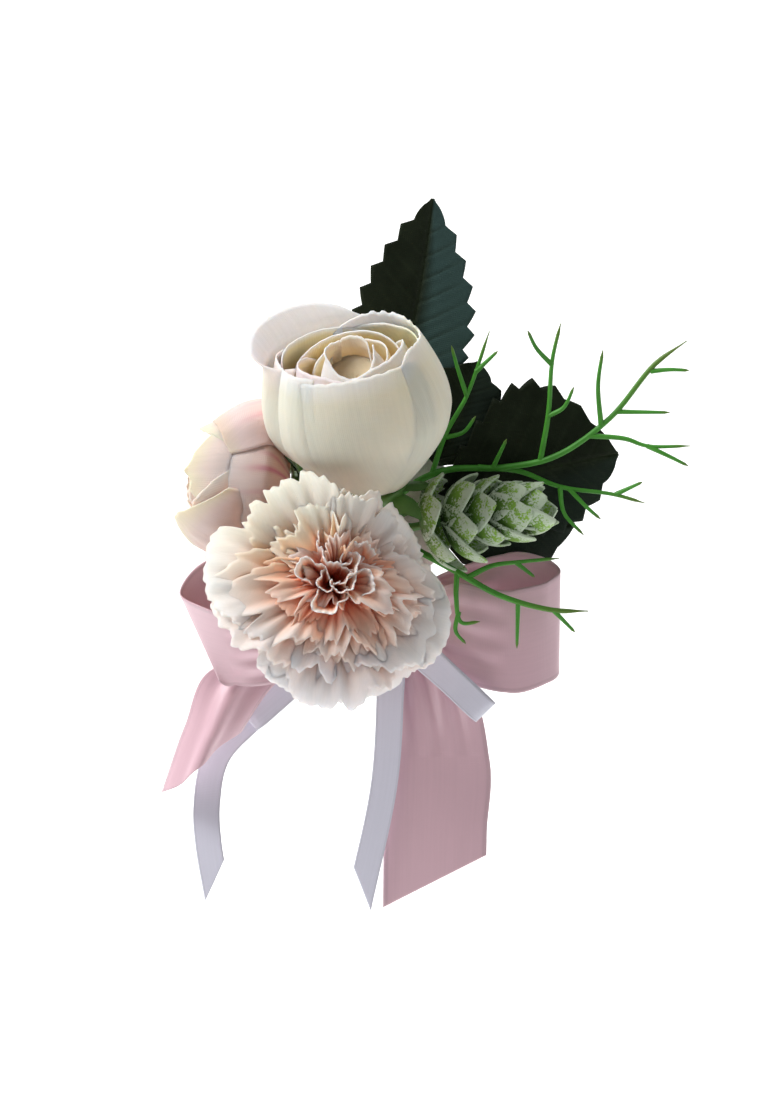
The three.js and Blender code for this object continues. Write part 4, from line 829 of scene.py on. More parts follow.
class CORSAGE_OT_rose(bpy.types.Operator):
    """Fold the petals of the ivory rose bud over one another"""

    bl_idname = "corsage.rose"
    bl_label = "Rose bud"

    def execute(self, context):
        tone = colours()
        stand = standing(ROSE_BASE, ROSE_AXIS)
        ivory = new_material("Ivory petal cloth", petal_cloth, [
            (0.0, "#e2d9bf"), (0.3, tone.rose_cloth), (0.86, tone.rose_cloth), (1.0, tone.rose_rim)],
            tone.blush, tone.lime)
        golden = new_material("Peach-dyed petal cloth", petal_cloth, [
            (0.0, "#e6b062"), (0.72, "#f8d796"), (0.95, tone.rose_inside), (0.985, "#faefdc"),
            (1.0, tone.rose_rim)], tone.blush, tone.lime)
        pale = new_material("White petal cloth", petal_cloth, [
            (0.0, "#ece0d4"), (0.6, "#f6f2f4"), (1.0, "#f8f7f9")], tone.blush, tone.lime)
        beige = new_material("Beige petal cloth", petal_cloth, [
            (0.0, "#dcb48c"), (0.75, tone.rose_heart), (0.97, "#f2dfc8"), (1.0, "#f6eee4")],
            tone.blush, tone.lime)

        # The outer ring: front petal tucked under its neighbours, then round by the right to the open flap; golden
        # petals line the back
        outer = {"length": ROSE_LENGTH, "foot": 6.4, "belly": ROSE_BELLY, "rim": ROSE_RIM, "pitch": 72, "span": 110,
                 "start": 0.7, "corner": 0.2, "lap_from": 2.2, "lap_to": -2.2, "flare": 1.2}
        lining = {"length": ROSE_LENGTH, "foot": 5, "belly": 18.4, "rim": 14.4, "pitch": 72, "span": 130, "start": 2,
                  "corner": 0.1, "roll": 0.3}
        lined = 2
        rings = {
            "rose_outer_petal_1": [petal_patch(
                stand, outer, 100, turn=262, span=140, rise=-1.5, corner=0.03, flare=0.4, lap_from=-0.45,
                lap_to=-0.45, roll=0.4, lime=(0.25, 0.8, 0.3))],
            "rose_outer_petal_2": [petal_patch(
                stand, outer, 101, cloth=lined, turn=340, span=120, corner=0.06, foot_width=1.0, from_top=0.45,
                lap_from=0.3, lap_to=0.2, flare=0.5, roll=0.5, lime=(0.45, 0.9, 0.7))],
            "rose_outer_petal_3": [
                petal_patch(stand, outer, 102, cloth=lined, turn=50, rise=1, corner=0.1, lap_from=-1, flare=0.4,
                            ragged=0.8, lime=(0.55, -0.7, 0.5)),
                petal_patch(stand, lining, 112, turn=42, rise=-1.6, lime=(0.7, -0.5, 0.5))],
            "rose_outer_petal_4": [
                petal_patch(stand, outer, 103, cloth=lined, turn=144, span=140, rise=6, flare=4.6, lap_from=-1,
                            lap_to=0.3, belly=22.2, rim=15.8, tuck=2.1, corner=0.26, rounding=2.4, roll=1.2,
                            ragged=0.1, fade=0.95, blush=(0.3, 1, 0.5)),
                petal_patch(stand, lining, 113, turn=146, span=140, rise=-0.6, rim=14.9, blush=(0.9, 0.8, 0.3))],
            "rose_outer_petal_5": [petal_patch(
                stand, outer, 104, cloth=lined, turn=200, span=84, corner=0.02, foot_width=1.0, lap_from=-0.4,
                lap_to=0.2, flare=0.5, roll=0.4, blush=(0.3, -0.6, 0.5))],
        }
        self.fold(rings, [ivory, golden, ivory, pale], "ivory_petal")

        middle = {"length": ROSE_LENGTH * 0.95, "foot": 4, "belly": ROSE_BELLY * 0.74, "rim": ROSE_RIM * 0.74,
                  "pitch": 120, "span": 170, "start": 3, "corner": 0.16, "lap_from": -1.5, "lap_to": 1.5, "roll": 0.5}
        self.fold({
            "rose_middle_petal_1": [petal_patch(stand, middle, 120, turn=210, blush=(0.35, 0, 1))],
            "rose_middle_petal_2": [petal_patch(stand, middle, 121, turn=330)],
            "rose_middle_petal_3": [petal_patch(stand, middle, 122, turn=90, blush=(0.2, 0.8, 0.4))],
        }, [pale, golden], "ivory_petal")

        inner = {"length": ROSE_LENGTH * 0.93, "foot": 3.2, "belly": ROSE_BELLY * 0.52, "rim": ROSE_RIM * 0.54,
                 "pitch": 180, "span": 200, "start": 5, "corner": 0.12, "lap_from": -1.2, "lap_to": 1.2, "roll": 0.3}
        self.fold({"rose_inner_petal_1": [petal_patch(stand, inner, 130, turn=60)]}, [golden, golden], "peach_petal")
        # The heart petal wraps round with its rim cut low at the front
        heart = {"rim": 5.8, "belly": 10, "corner": 0, "roll": 0}
        self.fold({"rose_inner_petal_2": [petal_patch(
            stand, {**inner, **heart}, 132, turn=238, span=250, rise=2.2, points=((0.3, -5, 0.5),))]},
            [pale, beige], "peach_petal")

        angle = np.linspace(0, 2 * math.pi, 45)[None, :]
        profile = [(0, 0.1), (2.8, 0.1), (3.1, 2.5), (3.4, 5), (4.5, 10), (5.0, 15), (5.8, 22), (6.5, 27), (6.9, 29.2)]
        profile += [(5, 29.1), (2.5, 28.9), (0, 28.8)]
        reach, height = reach_and_height(profile)
        # The top slopes up to the back, as the folded heart does
        height = height + 0.5 * reach * np.sin(angle) * tapered(np.arange(len(profile))[:, None], 6, 8)
        plug = about(stand, reach, angle, height, BUD_SQUASH)
        self.fold({"rose_core": [
            patch(plug, along=height / ROSE_LENGTH),
            petal_patch(stand, {**inner, **heart}, 133, turn=62, span=190, rim=4.9, belly=8.4, rise=2.8, corner=0.2)]},
            [beige, beige], "peach_petal")
        return {"FINISHED"}

    def fold(self, rings, materials, slot):
        """Sews every group of petals that stands for a solid."""
        for name, patches in rings.items():
            sew(name, patches, materials, slot, thick=sizes().petal_thick)


class CORSAGE_OT_bud(bpy.types.Operator):
    """Fold the petals of the pink bud"""

    bl_idname = "corsage.bud"
    bl_label = "Pink bud"

    def execute(self, context):
        tone, thick = colours(), sizes().petal_thick
        stand = standing(BUD_BASE, BUD_AXIS)
        blush = new_material("Blush petal cloth", petal_cloth, [
            (0.0, "#e8ad98"), (0.4, tone.bud_cloth), (0.8, "#e4cfc8"), (1.0, "#e2d8c4")],
            tone.bud_streak, tone.lime)
        coral = new_material("Coral petal cloth", petal_cloth, [
            (0.0, "#d7745c"), (0.6, "#eba893"), (1.0, "#f3e0d2")], tone.bud_streak, tone.lime)
        outer = {"length": BUD_LENGTH, "foot": 4.6, "belly": BUD_BELLY, "rim": BUD_RIM, "pitch": 90, "span": 130,
                 "start": 0.7, "corner": 0.2, "lap_from": -2.2, "lap_to": 2.2, "flare": 0.8}
        # A ring of short petals that close in, with longer ones inside whose tips stand out, and a broad lobe below
        short = {**outer, "length": 19.5, "belly": 17.2, "rim": 11.6, "corner": 0.2, "rounding": 2.4, "roll": 0.3,
                 "flare": 0.2, "lap_from": 0.3, "lap_to": 0.3, "belly_at": 0.4}
        long = {**outer, "belly": 15, "rim": 8.6, "foot": 3.6, "start": 2, "corner": 0.4, "rounding": 2.2, "roll": 0.3,
                "flare": 0.2, "lap_from": 0, "lap_to": 0}
        rim = (0.2, 0, 2)
        coral_out = 1
        rings = {
            "bud_outer_petal_1": [
                petal_patch(stand, short, 200, turn=14, span=136, belly=20.2, rim=13.2, tuck=2.6, wash=0.14,
                            blush=(0.25, -0.5, 0.5), lime=rim,
                            streaks=((0.35, -0.55, 0.05, 1), (0.3, -0.25, 0.04, 0.9))),
                petal_patch(stand, long, 210, turn=8, rise=-2.5, wash=0.06, lime=rim)],
            "bud_outer_petal_2": [
                petal_patch(stand, short, 201, turn=112, span=110, lime=rim),
                petal_patch(stand, long, 211, turn=100, rise=-3, lime=rim)],
            "bud_outer_petal_3": [
                petal_patch(stand, long, 202, turn=220, span=112, length=26.5, belly=17.4, rim=9.8, corner=0.42,
                            wash=0.05, pleat=0.22, pleats=5, lime=rim),
                petal_patch(stand, long, 212, cloth=coral_out, turn=244, span=110, rise=-2)],
            "bud_outer_petal_4": [
                petal_patch(stand, short, 203, turn=284, span=92, lap_to=-0.3, wash=0.04, lime=rim,
                            streaks=((0.7, 0.3, 0.06, 0.75), (0.5, 0.62, 0.05, 0.6), (0.3, -0.15, 0.05, 0.9))),
                petal_patch(stand, long, 213, turn=296, span=110, rise=-0.5, lime=rim,
                            points=((-0.6, 2.5, 0.18), (-0.1, 1.2, 0.14)))],
        }
        for name, patches in rings.items():
            sew(name, patches, [blush, coral, coral], "blush_petal", thick=thick)
        inner = {"length": 24, "foot": 2.8, "belly": BUD_BELLY * 0.62, "rim": 4.6, "pitch": 180, "span": 220,
                 "start": 3, "corner": 0.14, "lap_from": -1.2, "lap_to": 1.2, "roll": 0.6}
        for k in range(2):
            petal = petal_patch(stand, inner, 220 + k, turn=100 + 180 * k)
            sew(f"bud_inner_petal_{k + 1}", [petal], [coral, coral], "blush_petal", thick=thick)
        angle = once_round(40)
        profile = [(0, 0), (1.6, 0.1), (1.6, 4), (3.2, 7.5), (4.2, 10), (4.6, 14), (4.2, 17), (2.8, 18.6), (0, 19)]
        reach, height = reach_and_height(profile)
        radius = reach * (1 + 0.08 * np.cos(4 * angle + 0.2 * height))
        core = about(stand, radius, angle, height, BUD_SQUASH)
        sew("bud_core", [patch(core, ring=True, along=height / 30)], [coral], "blush_petal", merge=True, smooth=1)
        return {"FINISHED"}


class CORSAGE_OT_carnation(bpy.types.Operator):
    """Frill the whorls of carnation petals"""

    bl_idname = "corsage.carnation"
    bl_label = "Carnation"

    def execute(self, context):
        tone = colours()
        cloth = new_material("Coral-shaded petal cloth", petal_cloth, [
            (0.0, tone.carnation_deep), (0.32, "#fa987a"), (0.56, tone.carnation_mid),
            (0.78, "#f4dcd2"), (1.0, tone.carnation_edge)], tone.lime, "#ece6ee")
        rng = np.random.default_rng(300)
        # Each whorl: its ruffle, opening at the tips, reach, petals, swing of the frill and shift of the dye
        whorls = (
            (1, 30, 23, 5, 13, -0.14), (2, 43, 24.5, 5, 15, -0.22), (3, 53, 26, 5, 16, -0.12),
            (3, 62, 27, 5, 15, -0.04), (4, 70, 27.5, 6, 13, 0.03), (4, 78, 28.5, 5, 12, 0.09),
            (5, 86, 29, 6, 11, 0.14), (5, 94, 29.5, 6, 8, 0.2))
        ruffles = {k: [] for k in range(1, 6)}
        for step, (ruffle, opening, reach, count, swing, dye) in enumerate(whorls):
            share = step / (len(whorls) - 1)
            axis = (1 - share) * np.array(CARNATION_HEART_AXIS) + share * np.array(CARNATION_AXIS)
            stand = standing(CARNATION_HEART, axis)
            for j in range(count):
                turn = 2 * math.pi * j / count + 2.4 * step + rng.uniform(-0.32, 0.32)
                # Room is left in the first whorl for the one broad coral petal
                if step == 0 and math.cos(turn - CORAL_TURN) > 0.3:
                    continue
                ruffles[ruffle].append(self.frilled(stand, rng, {
                    "turn": turn, "fan": 1.3 * math.pi / count, "opening": opening, "reach": reach, "swing": swing,
                    "dye": dye, "teeth": 1}))
        stand = standing(CARNATION_HEART, CARNATION_HEART_AXIS)
        ruffles[1].append(self.frilled(stand, rng, {
            "turn": CORAL_TURN, "fan": 0.5, "opening": 36, "reach": 25.5, "swing": 2, "dye": -0.35, "teeth": 0.3}))
        for j in range(5):
            ruffles[1].append(self.frilled(stand, rng, {
                "turn": 2.4 * j - 0.6, "fan": 0.85, "opening": 25 + 3 * j, "reach": 25 - 0.4 * j, "swing": 8,
                "dye": -0.08, "teeth": 0.6}))
        for turn, offset, radius in HEART_CURLS:
            ruffles[1].append(self.curled(stand, rng, math.radians(turn), offset, radius))
        for k, patches in ruffles.items():
            slot = "coral_petal" if k < 4 else "pale_petal"
            sew(f"carnation_ruffle_{k}", patches, [cloth], slot, thick=sizes().petal_thick * 0.8)
        return {"FINISHED"}

    def curled(self, stand, rng, turn, offset, radius):
        """One heart petal: cloth rolled most of the way round a line of its own, wider and toothed at its mouth."""
        s, v = span(71, 17)
        angle = turn + rng.uniform(-2, 2) + s * rng.uniform(1.8, 2.5)
        saw = np.abs((s * 6 + rng.uniform(0, 1)) % 1 - 0.5)
        height = HEART_LOW + (rng.uniform(21.4, 23.8) - HEART_LOW) * v * (1 - 0.16 * s ** 2 - 0.12 * saw)
        wave = 0.3 * np.sin(rng.uniform(3, 5) * s + rng.uniform(0, 6)) + 0.12 * np.sin(11 * s + rng.uniform(0, 6))
        wide = radius * (0.08 + 0.92 * v ** 0.7 + wave * v ** 2) * (1 + 0.12 * s)
        out = offset * height / HEART_TOP
        x = out * math.cos(turn) + wide * np.cos(angle)
        y = out * math.sin(turn) + wide * np.sin(angle)
        points = placed(stand, x, y, height)
        return patch(points, along=0.06 + 0.94 * v ** 3 + 0 * s)

    def frilled(self, stand, rng, petal):
        """One petal: a fan that rises from the heart and bends outwards, with a waved, finely toothed rim."""
        s, v = span(89, 19)
        opening = petal["opening"]
        angle = petal["turn"] + s * petal["fan"] * (0.7 + 0.3 * v)
        above = np.maximum(0, np.sin(angle))
        lift = 1 - 0.4 * above ** 1.5
        trim = sum(share * np.maximum(0, np.cos(angle - math.radians(side))) ** sharp
                   for side, share, sharp in CARNATION_TRIM)
        kept = 1 - trim * tapered(opening, 15, 50)
        saw = np.abs((s * 8 + rng.uniform(0, 1)) % 1 - 0.5) * (1 + 0.7 * creases(rng, s, 0.0, 3, 3, 12))
        notches = sum(
            rng.uniform(0.06, 0.16) * np.maximum(0, 1 - np.abs(s - place) / 0.1) for place in rng.uniform(-0.7, 0.7, 2))
        outline = 1 - 0.36 * np.abs(s) ** 2.3 - petal["teeth"] * (0.1 * saw + notches)
        along = v * outline
        reach = petal["reach"] * rng.uniform(0.87, 1.04) * kept * (1 - (1 - along) ** 1.8)
        waves = rng.uniform(0.7, 1.4)
        phase = rng.uniform(0, 2 * math.pi)
        frill = np.sin(waves * math.pi * s + phase) + 0.45 * np.sin(2.7 * waves * math.pi * s + 2 * phase)
        frill = frill + 0.2 * np.sin(6.1 * waves * math.pi * s + 3 * phase)
        low = max(2, opening - 46) * 0.9
        curl = rng.uniform(-7, 7)
        crinkle = 5.5 * creases(rng, s, v, 4, 9, 26)
        bend = low + (opening + curl - low) * along ** 1.6
        tilt = np.radians(lift * (bend + petal["swing"] * along ** 2 * frill + crinkle * along))
        out = 1.6 + reach * np.sin(tilt)
        points = about(stand, out, angle, reach * np.cos(tilt))
        # The outer petals are flushed with lime at the upper left and with lavender below
        green = 0.35 * np.maximum(0, np.cos(angle - math.radians(125))) ** 2 * tapered(v, 0.3, 1) * (opening > 40)
        lavender = 0.5 * np.maximum(0, np.cos(angle + math.radians(90))) ** 4 * tapered(v, 0.4, 1) * (opening > 70)
        dye = np.clip(along * 0.9 + petal["dye"] + rng.uniform(-0.05, 0.05), 0, 1)
        return patch(points, along=dye, flush=green, tint=lavender)


class CORSAGE_OT_calyxes(bpy.types.Operator):
    """Set the calyx cups and sepals under the flowers"""

    bl_idname = "corsage.calyxes"
    bl_label = "Calyxes"

    def execute(self, context):
        tone = colours()
        green = new_material("Moulded polyethylene sepal", moulded_plastic, tone.sepal, "#3c5a26", 4)
        rose = calyx_patches(standing(ROSE_BASE, ROSE_AXIS), 6.4, 7, 5, 8.5, math.radians(308), -4)
        bud = calyx_patches(standing(BUD_BASE, BUD_AXIS), 4.6, 6, 4, 8, math.radians(328), 6)
        for name, patches in (("rose_calyx", rose), ("bud_calyx", bud)):
            sew(name, patches, [green], "green_calyx", merge=True, ending="_moulded")
        stand = standing(CARNATION_HEART, CARNATION_AXIS)
        angle = once_round(60)
        profile = [(0, -12), (2.0, -12), (2.4, -11.7), (3.4, -9.6), (4.32, -7.2), (5.0, -4.2), (5.4, -1.2)]
        profile += [(5.2, -0.7), (4.86, -0.4), (0, -0.4)]
        reach, height = reach_and_height(profile)
        radius = reach * (1 + 0.035 * np.abs(np.cos(5 * angle)))
        cup = about(stand, radius, angle, height)
        sew("carnation_calyx", [patch(cup, ring=True)], [green], "green_calyx", merge=True, ending="_moulded", smooth=1)
        return {"FINISHED"}


def new_tree(name, sockets):
    """A geometry tree with named inputs, their identifiers, the function that adds nodes to it, and its inputs."""
    tree = bpy.data.node_groups.new(name, "GeometryNodeTree")
    keys = {}
    for label, kind in sockets:
        keys[label] = tree.interface.new_socket(label, in_out="INPUT", socket_type=kind).identifier
    tree.interface.new_socket("Geometry", in_out="OUTPUT", socket_type="NodeSocketGeometry")
    node = functools.partial(add_node, tree)
    return tree, keys, node, node("NodeGroupInput").node.outputs


def run_tree(holder, tree, keys, values):
    """Runs a geometry tree on an object and returns its result as a plain mesh."""
    modifier = holder.modifiers.new("Tree", "NODES")
    modifier.node_group = tree
    for label, value in values.items():
        modifier[keys[label]] = value
    bpy.context.view_layer.update()
    graph = bpy.context.evaluated_depsgraph_get()
    mesh = bpy.data.meshes.new_from_object(holder.evaluated_get(graph), depsgraph=graph)
    data = holder.data
    bpy.data.objects.remove(holder)
    if data.users == 0:
        bpy.data.batch_remove([data])
    mesh.shade_smooth()
    return mesh


def stalk_tree():
    """Sweeps a round section along every spline, as thick as the spline's own radius says."""
    tree, keys, node, given = new_tree("Swept stalks", (
        ("Geometry", "NodeSocketGeometry"), ("Section radius", "NodeSocketFloat"), ("Sides", "NodeSocketInt"),
        ("Material", "NodeSocketMaterial")))
    place = node("GeometryNodeSplineParameter")
    marked = node("GeometryNodeStoreNamedAttribute", {
        "Geometry": given["Geometry"], "Name": "along", "Value": place}, data_type="FLOAT", domain="POINT")
    section = node("GeometryNodeCurvePrimitiveCircle", {
        "Radius": given["Section radius"], "Resolution": given["Sides"]})
    thickness = node("GeometryNodeInputRadius")
    swept = node("GeometryNodeCurveToMesh", {
        "Curve": marked, "Profile Curve": section, "Scale": thickness, "Fill Caps": True})
    real = node("GeometryNodeRealizeInstances", {"Geometry": swept})
    done = node("GeometryNodeSetMaterial", {"Geometry": real, "Material": given["Material"]})
    node("NodeGroupOutput", {"Geometry": done})
    return tree, keys


# Each twig: its thickness and the points it runs through
FERN_UPPER = (
    (0.9, ((0, -7.6, -40), (0, -7.6, -8), (1.2, -8.2, -2.5), (8, -8.6, 6), (17, -10, 11), (31.3, -11, 12),
           (43.2, -12.5, 15), (55.9, -13, 24.3), (66, -14, 37.2), (73.3, -15, 43))),
    (0.62, ((14, -9.4, 9.5), (17.4, -10, 19.9), (22.3, -10.4, 29.1), (27.5, -11, 44.6))),
    (0.55, ((22.3, -10.4, 29.1), (20.2, -11, 35.4), (18.6, -12, 41.3))),
    (0.55, ((24.4, -10.6, 34.9), (29.4, -12, 40))),
    (0.55, ((17.4, -10, 19), (21.6, -10.4, 20.4), (24.4, -11, 24.3))),
    (0.55, ((28.6, -11, 12), (31.7, -12, 19))),
    (0.62, ((39.7, -12, 13.9), (41.4, -13, 25.3), (42.1, -14, 38.1), (43.9, -15, 47.1))),
    (0.55, ((42.1, -14, 37.1), (38.3, -15, 41.3), (36.2, -16, 45.6))),
    (0.55, ((41.4, -13, 24.8), (44.9, -14, 27), (47.2, -15, 32.1))),
    (0.6, ((53.8, -13, 22.6), (52.9, -14, 32.3), (53.8, -15, 40.8))),
    (0.55, ((65.1, -13.9, 35.6), (69.6, -14.5, 36.1), (74, -15, 36))),
    (0.55, ((57.3, -13.1, 25.8), (69.8, -14, 25.8))),
    (0.6, ((50.7, -12.8, 20), (59.5, -13.5, 19.4), (64.6, -14, 17.8), (74.7, -15, 18))),
    (0.55, ((64.6, -14, 17.8), (70, -15, 15.4), (74.3, -15, 13.2))),
    (0.62, ((25, -10.7, 12), (35, -10.2, 10.8), (44.4, -11, 7.3), (56.9, -13, 5.9), (64.4, -14, 4))),
    (0.55, ((57.5, -13, 5.9), (63.7, -14, 9.1))),
    (0.55, ((46.5, -11.4, 7), (50.3, -13, 3.2), (54, -14, 0.1))),
    (0.55, ((44.4, -11, 7.3), (45.5, -11.5, 1), (50.1, -13, -4))),
)
FERN_LOWER = (
    (0.9, ((2.3, -7.6, -40), (2.3, -7.6, -8), (4.3, -8.6, -5.5), (11, -14.5, -7.5), (20, -21, -11),
           (30.1, -23, -16.2), (42.1, -24, -19.4), (50.8, -24, -19.7))),
    (0.55, ((42.5, -24, -19.4), (47.7, -24, -24.8))),
    (0.55, ((34.3, -23.4, -17.6), (34.1, -24, -28.8))),
    (0.62, ((22.6, -21.8, -12), (28.2, -20.5, -9.6), (34, -19.5, -9), (44.2, -18, -8.4))),
    (0.55, ((33.8, -19.5, -9), (38.3, -20, -12.5))),
    (0.62, ((20, -21, -11), (19.8, -22.2, -17), (21, -22.2, -22.9), (25.4, -22.4, -22.7))),
    (0.55, ((20.4, -22.2, -20.4), (19.7, -22.2, -25), (22.1, -22, -28.2))),
)


class CORSAGE_OT_fern(bpy.types.Operator):
    """Mould the two fern sprays"""

    bl_idname = "corsage.fern"
    bl_label = "Fern"

    def execute(self, context):
        tone, size = colours(), sizes()
        plastic = new_material("Moulded polyethylene fern", moulded_plastic, tone.fern, tone.fern_tip, 5)
        tree, keys = stalk_tree()
        for name, paths in (("fern_upper", FERN_UPPER), ("fern_lower", FERN_LOWER)):
            splines = bpy.data.curves.new(name + "_paths", "CURVE")
            splines.dimensions = "3D"
            for thickness, points in paths:
                count = 10 * (len(points) - 1) + 1
                t = np.linspace(0, 1, count)
                line = curve_point(points, t) * MM
                width = thickness * (1 - 0.45 * t) * (1 - tapered(t, 0.9, 1.0) * 0.75)
                spline = splines.splines.new("POLY")
                spline.points.add(count - 1)
                for point, place, radius in zip(spline.points, line, width):
                    point.co = (*place, 1)
                    point.radius = radius
            holder = bpy.data.objects.new(name + "_paths", splines)
            context.scene.collection.objects.link(holder)
            mesh = run_tree(holder, tree, keys, {
                "Section radius": size.fern_section, "Sides": 12, "Material": plastic})
            dress(name + "_moulded", mesh, [plastic], "fern_plastic", [name])
        return {"FINISHED"}


def hop_tree():
    """Sets hop scales in whorls up the cone, each whorl half a scale round from the last, with seeded unevenness."""
    tree, keys, node, given = new_tree("Hop cone", (
        ("Geometry", "NodeSocketGeometry"), ("Scale", "NodeSocketObject"), ("Whorls", "NodeSocketInt"),
        ("Scales", "NodeSocketInt"), ("Length", "NodeSocketFloat"), ("Root opening", "NodeSocketFloat"),
        ("Tip opening", "NodeSocketFloat"), ("Tip size", "NodeSocketFloat"), ("Seed", "NodeSocketInt"),
        ("Material", "NodeSocketMaterial")))
    index = node("GeometryNodeInputIndex")
    count = node("ShaderNodeMath", {0: given["Whorls"], 1: given["Scales"]}, operation="MULTIPLY")
    points = node("GeometryNodePoints", {"Count": count})
    share = node("ShaderNodeMath", {0: index, 1: given["Scales"]}, operation="DIVIDE")
    whorl = node("ShaderNodeMath", {0: share}, operation="FLOOR")
    last = node("ShaderNodeMath", {0: given["Whorls"], 1: 1.0}, operation="SUBTRACT")
    along = node("ShaderNodeMath", {0: whorl, 1: last}, operation="DIVIDE")
    height = node("ShaderNodeMath", {0: along, 1: given["Length"]}, operation="MULTIPLY")
    seat = node("ShaderNodeCombineXYZ", {"Z": height})
    half = node("ShaderNodeMath", {0: whorl, 1: given["Scales"]}, operation="DIVIDE")
    offset = node("ShaderNodeMath", {0: half, 1: 0.5, 2: share}, operation="MULTIPLY_ADD")
    uneven = node("FunctionNodeRandomValue", {
        "Min": (-0.14, -0.1, 0.9), "Max": (0.14, 0.1, 1.1), "ID": index, "Seed": given["Seed"]},
        data_type="FLOAT_VECTOR")
    odd = node("ShaderNodeSeparateXYZ", {"Vector": uneven}).node.outputs
    turn = node("ShaderNodeMath", {0: offset, 1: 2 * math.pi, 2: odd["X"]}, operation="MULTIPLY_ADD")
    opening = node("ShaderNodeMapRange", {
        "Value": along, "To Min": given["Root opening"], "To Max": given["Tip opening"]})
    lean = node("ShaderNodeMath", {0: opening, 1: odd["Y"]}, operation="ADD")
    euler = node("ShaderNodeCombineXYZ", {"Y": lean, "Z": turn})
    rotation = node("FunctionNodeEulerToRotation", {"Euler": euler})
    shrink = node("ShaderNodeMapRange", {"Value": along, "To Min": 1.0, "To Max": given["Tip size"]})
    grown = node("ShaderNodeMath", {0: shrink, 1: odd["Z"]}, operation="MULTIPLY")
    seated = node("GeometryNodeSetPosition", {"Geometry": points, "Position": seat})
    scale = node("GeometryNodeObjectInfo", {"Object": given["Scale"]}, out="Geometry")
    copies = node("GeometryNodeInstanceOnPoints", {
        "Points": seated, "Instance": scale, "Rotation": rotation, "Scale": grown})
    real = node("GeometryNodeRealizeInstances", {"Geometry": copies})
    done = node("GeometryNodeSetMaterial", {"Geometry": real, "Material": given["Material"]})
    node("NodeGroupOutput", {"Geometry": done})
    return tree, keys


class CORSAGE_OT_hop(bpy.types.Operator):
    """Set the frosted scales of the hop cone"""

    bl_idname = "corsage.hop"
    bl_label = "Hop cone"

    def execute(self, context):
        size = sizes()
        frosted = new_material("Frosted polyethylene", frosted_scale)
        origin, directions = standing(HOP_BASE, HOP_AXIS)
        stand = Matrix.Translation(Vector(origin * MM)) @ Matrix(directions.T.tolist()).to_4x4()
        scale = bpy.data.objects.new("hop_scale", mesh_of("hop_scale", [self.scale_patch(
            size.bract_length / MM, size.bract_width / MM)]))
        context.scene.collection.objects.link(scale)
        tree, keys = hop_tree()
        holder = bpy.data.objects.new("hop_points", bpy.data.meshes.new("hop_points"))
        context.scene.collection.objects.link(holder)
        mesh = run_tree(holder, tree, keys, {
            "Scale": scale, "Whorls": HOP_WHORLS, "Scales": HOP_SCALES, "Length": HOP_LENGTH * MM,
            "Root opening": math.radians(62), "Tip opening": math.radians(26), "Tip size": 0.85, "Seed": 7,
            "Material": frosted})
        bpy.data.objects.remove(scale)
        mesh.transform(stand @ Matrix.Translation((0, 0, HOP_FOOT * MM)))
        dress("hop_cone_frosted", mesh, [frosted], "frosted_hop", [f"hop_whorl_{k + 1}" for k in range(HOP_WHORLS)],
              thick=size.bract_thick, smooth=1)
        return {"FINISHED"}

    def scale_patch(self, length, width):
        """A spoon-shaped scale with a rounded point, its outer face looking along +X and its tip along +Z."""
        s, t = span(9, 13)
        half = width / 2 * np.sin(math.pi * (0.1 + 0.9 * t ** 0.85)) ** 0.7 + 0.15
        side = s * half
        out = 1.3 + 1.9 * np.sin(math.pi * t) - 1.6 * s ** 2 * np.sin(math.pi * np.clip(t, 0, 0.9)) - 1.2 * t ** 3
        edge = tapered(np.maximum(np.abs(s), t), 0.45, 1.0) * 0.42
        points = np.stack(np.broadcast_arrays(out, side, length * t), -1)
        return patch(points, along=t + 0 * s, tint=edge)


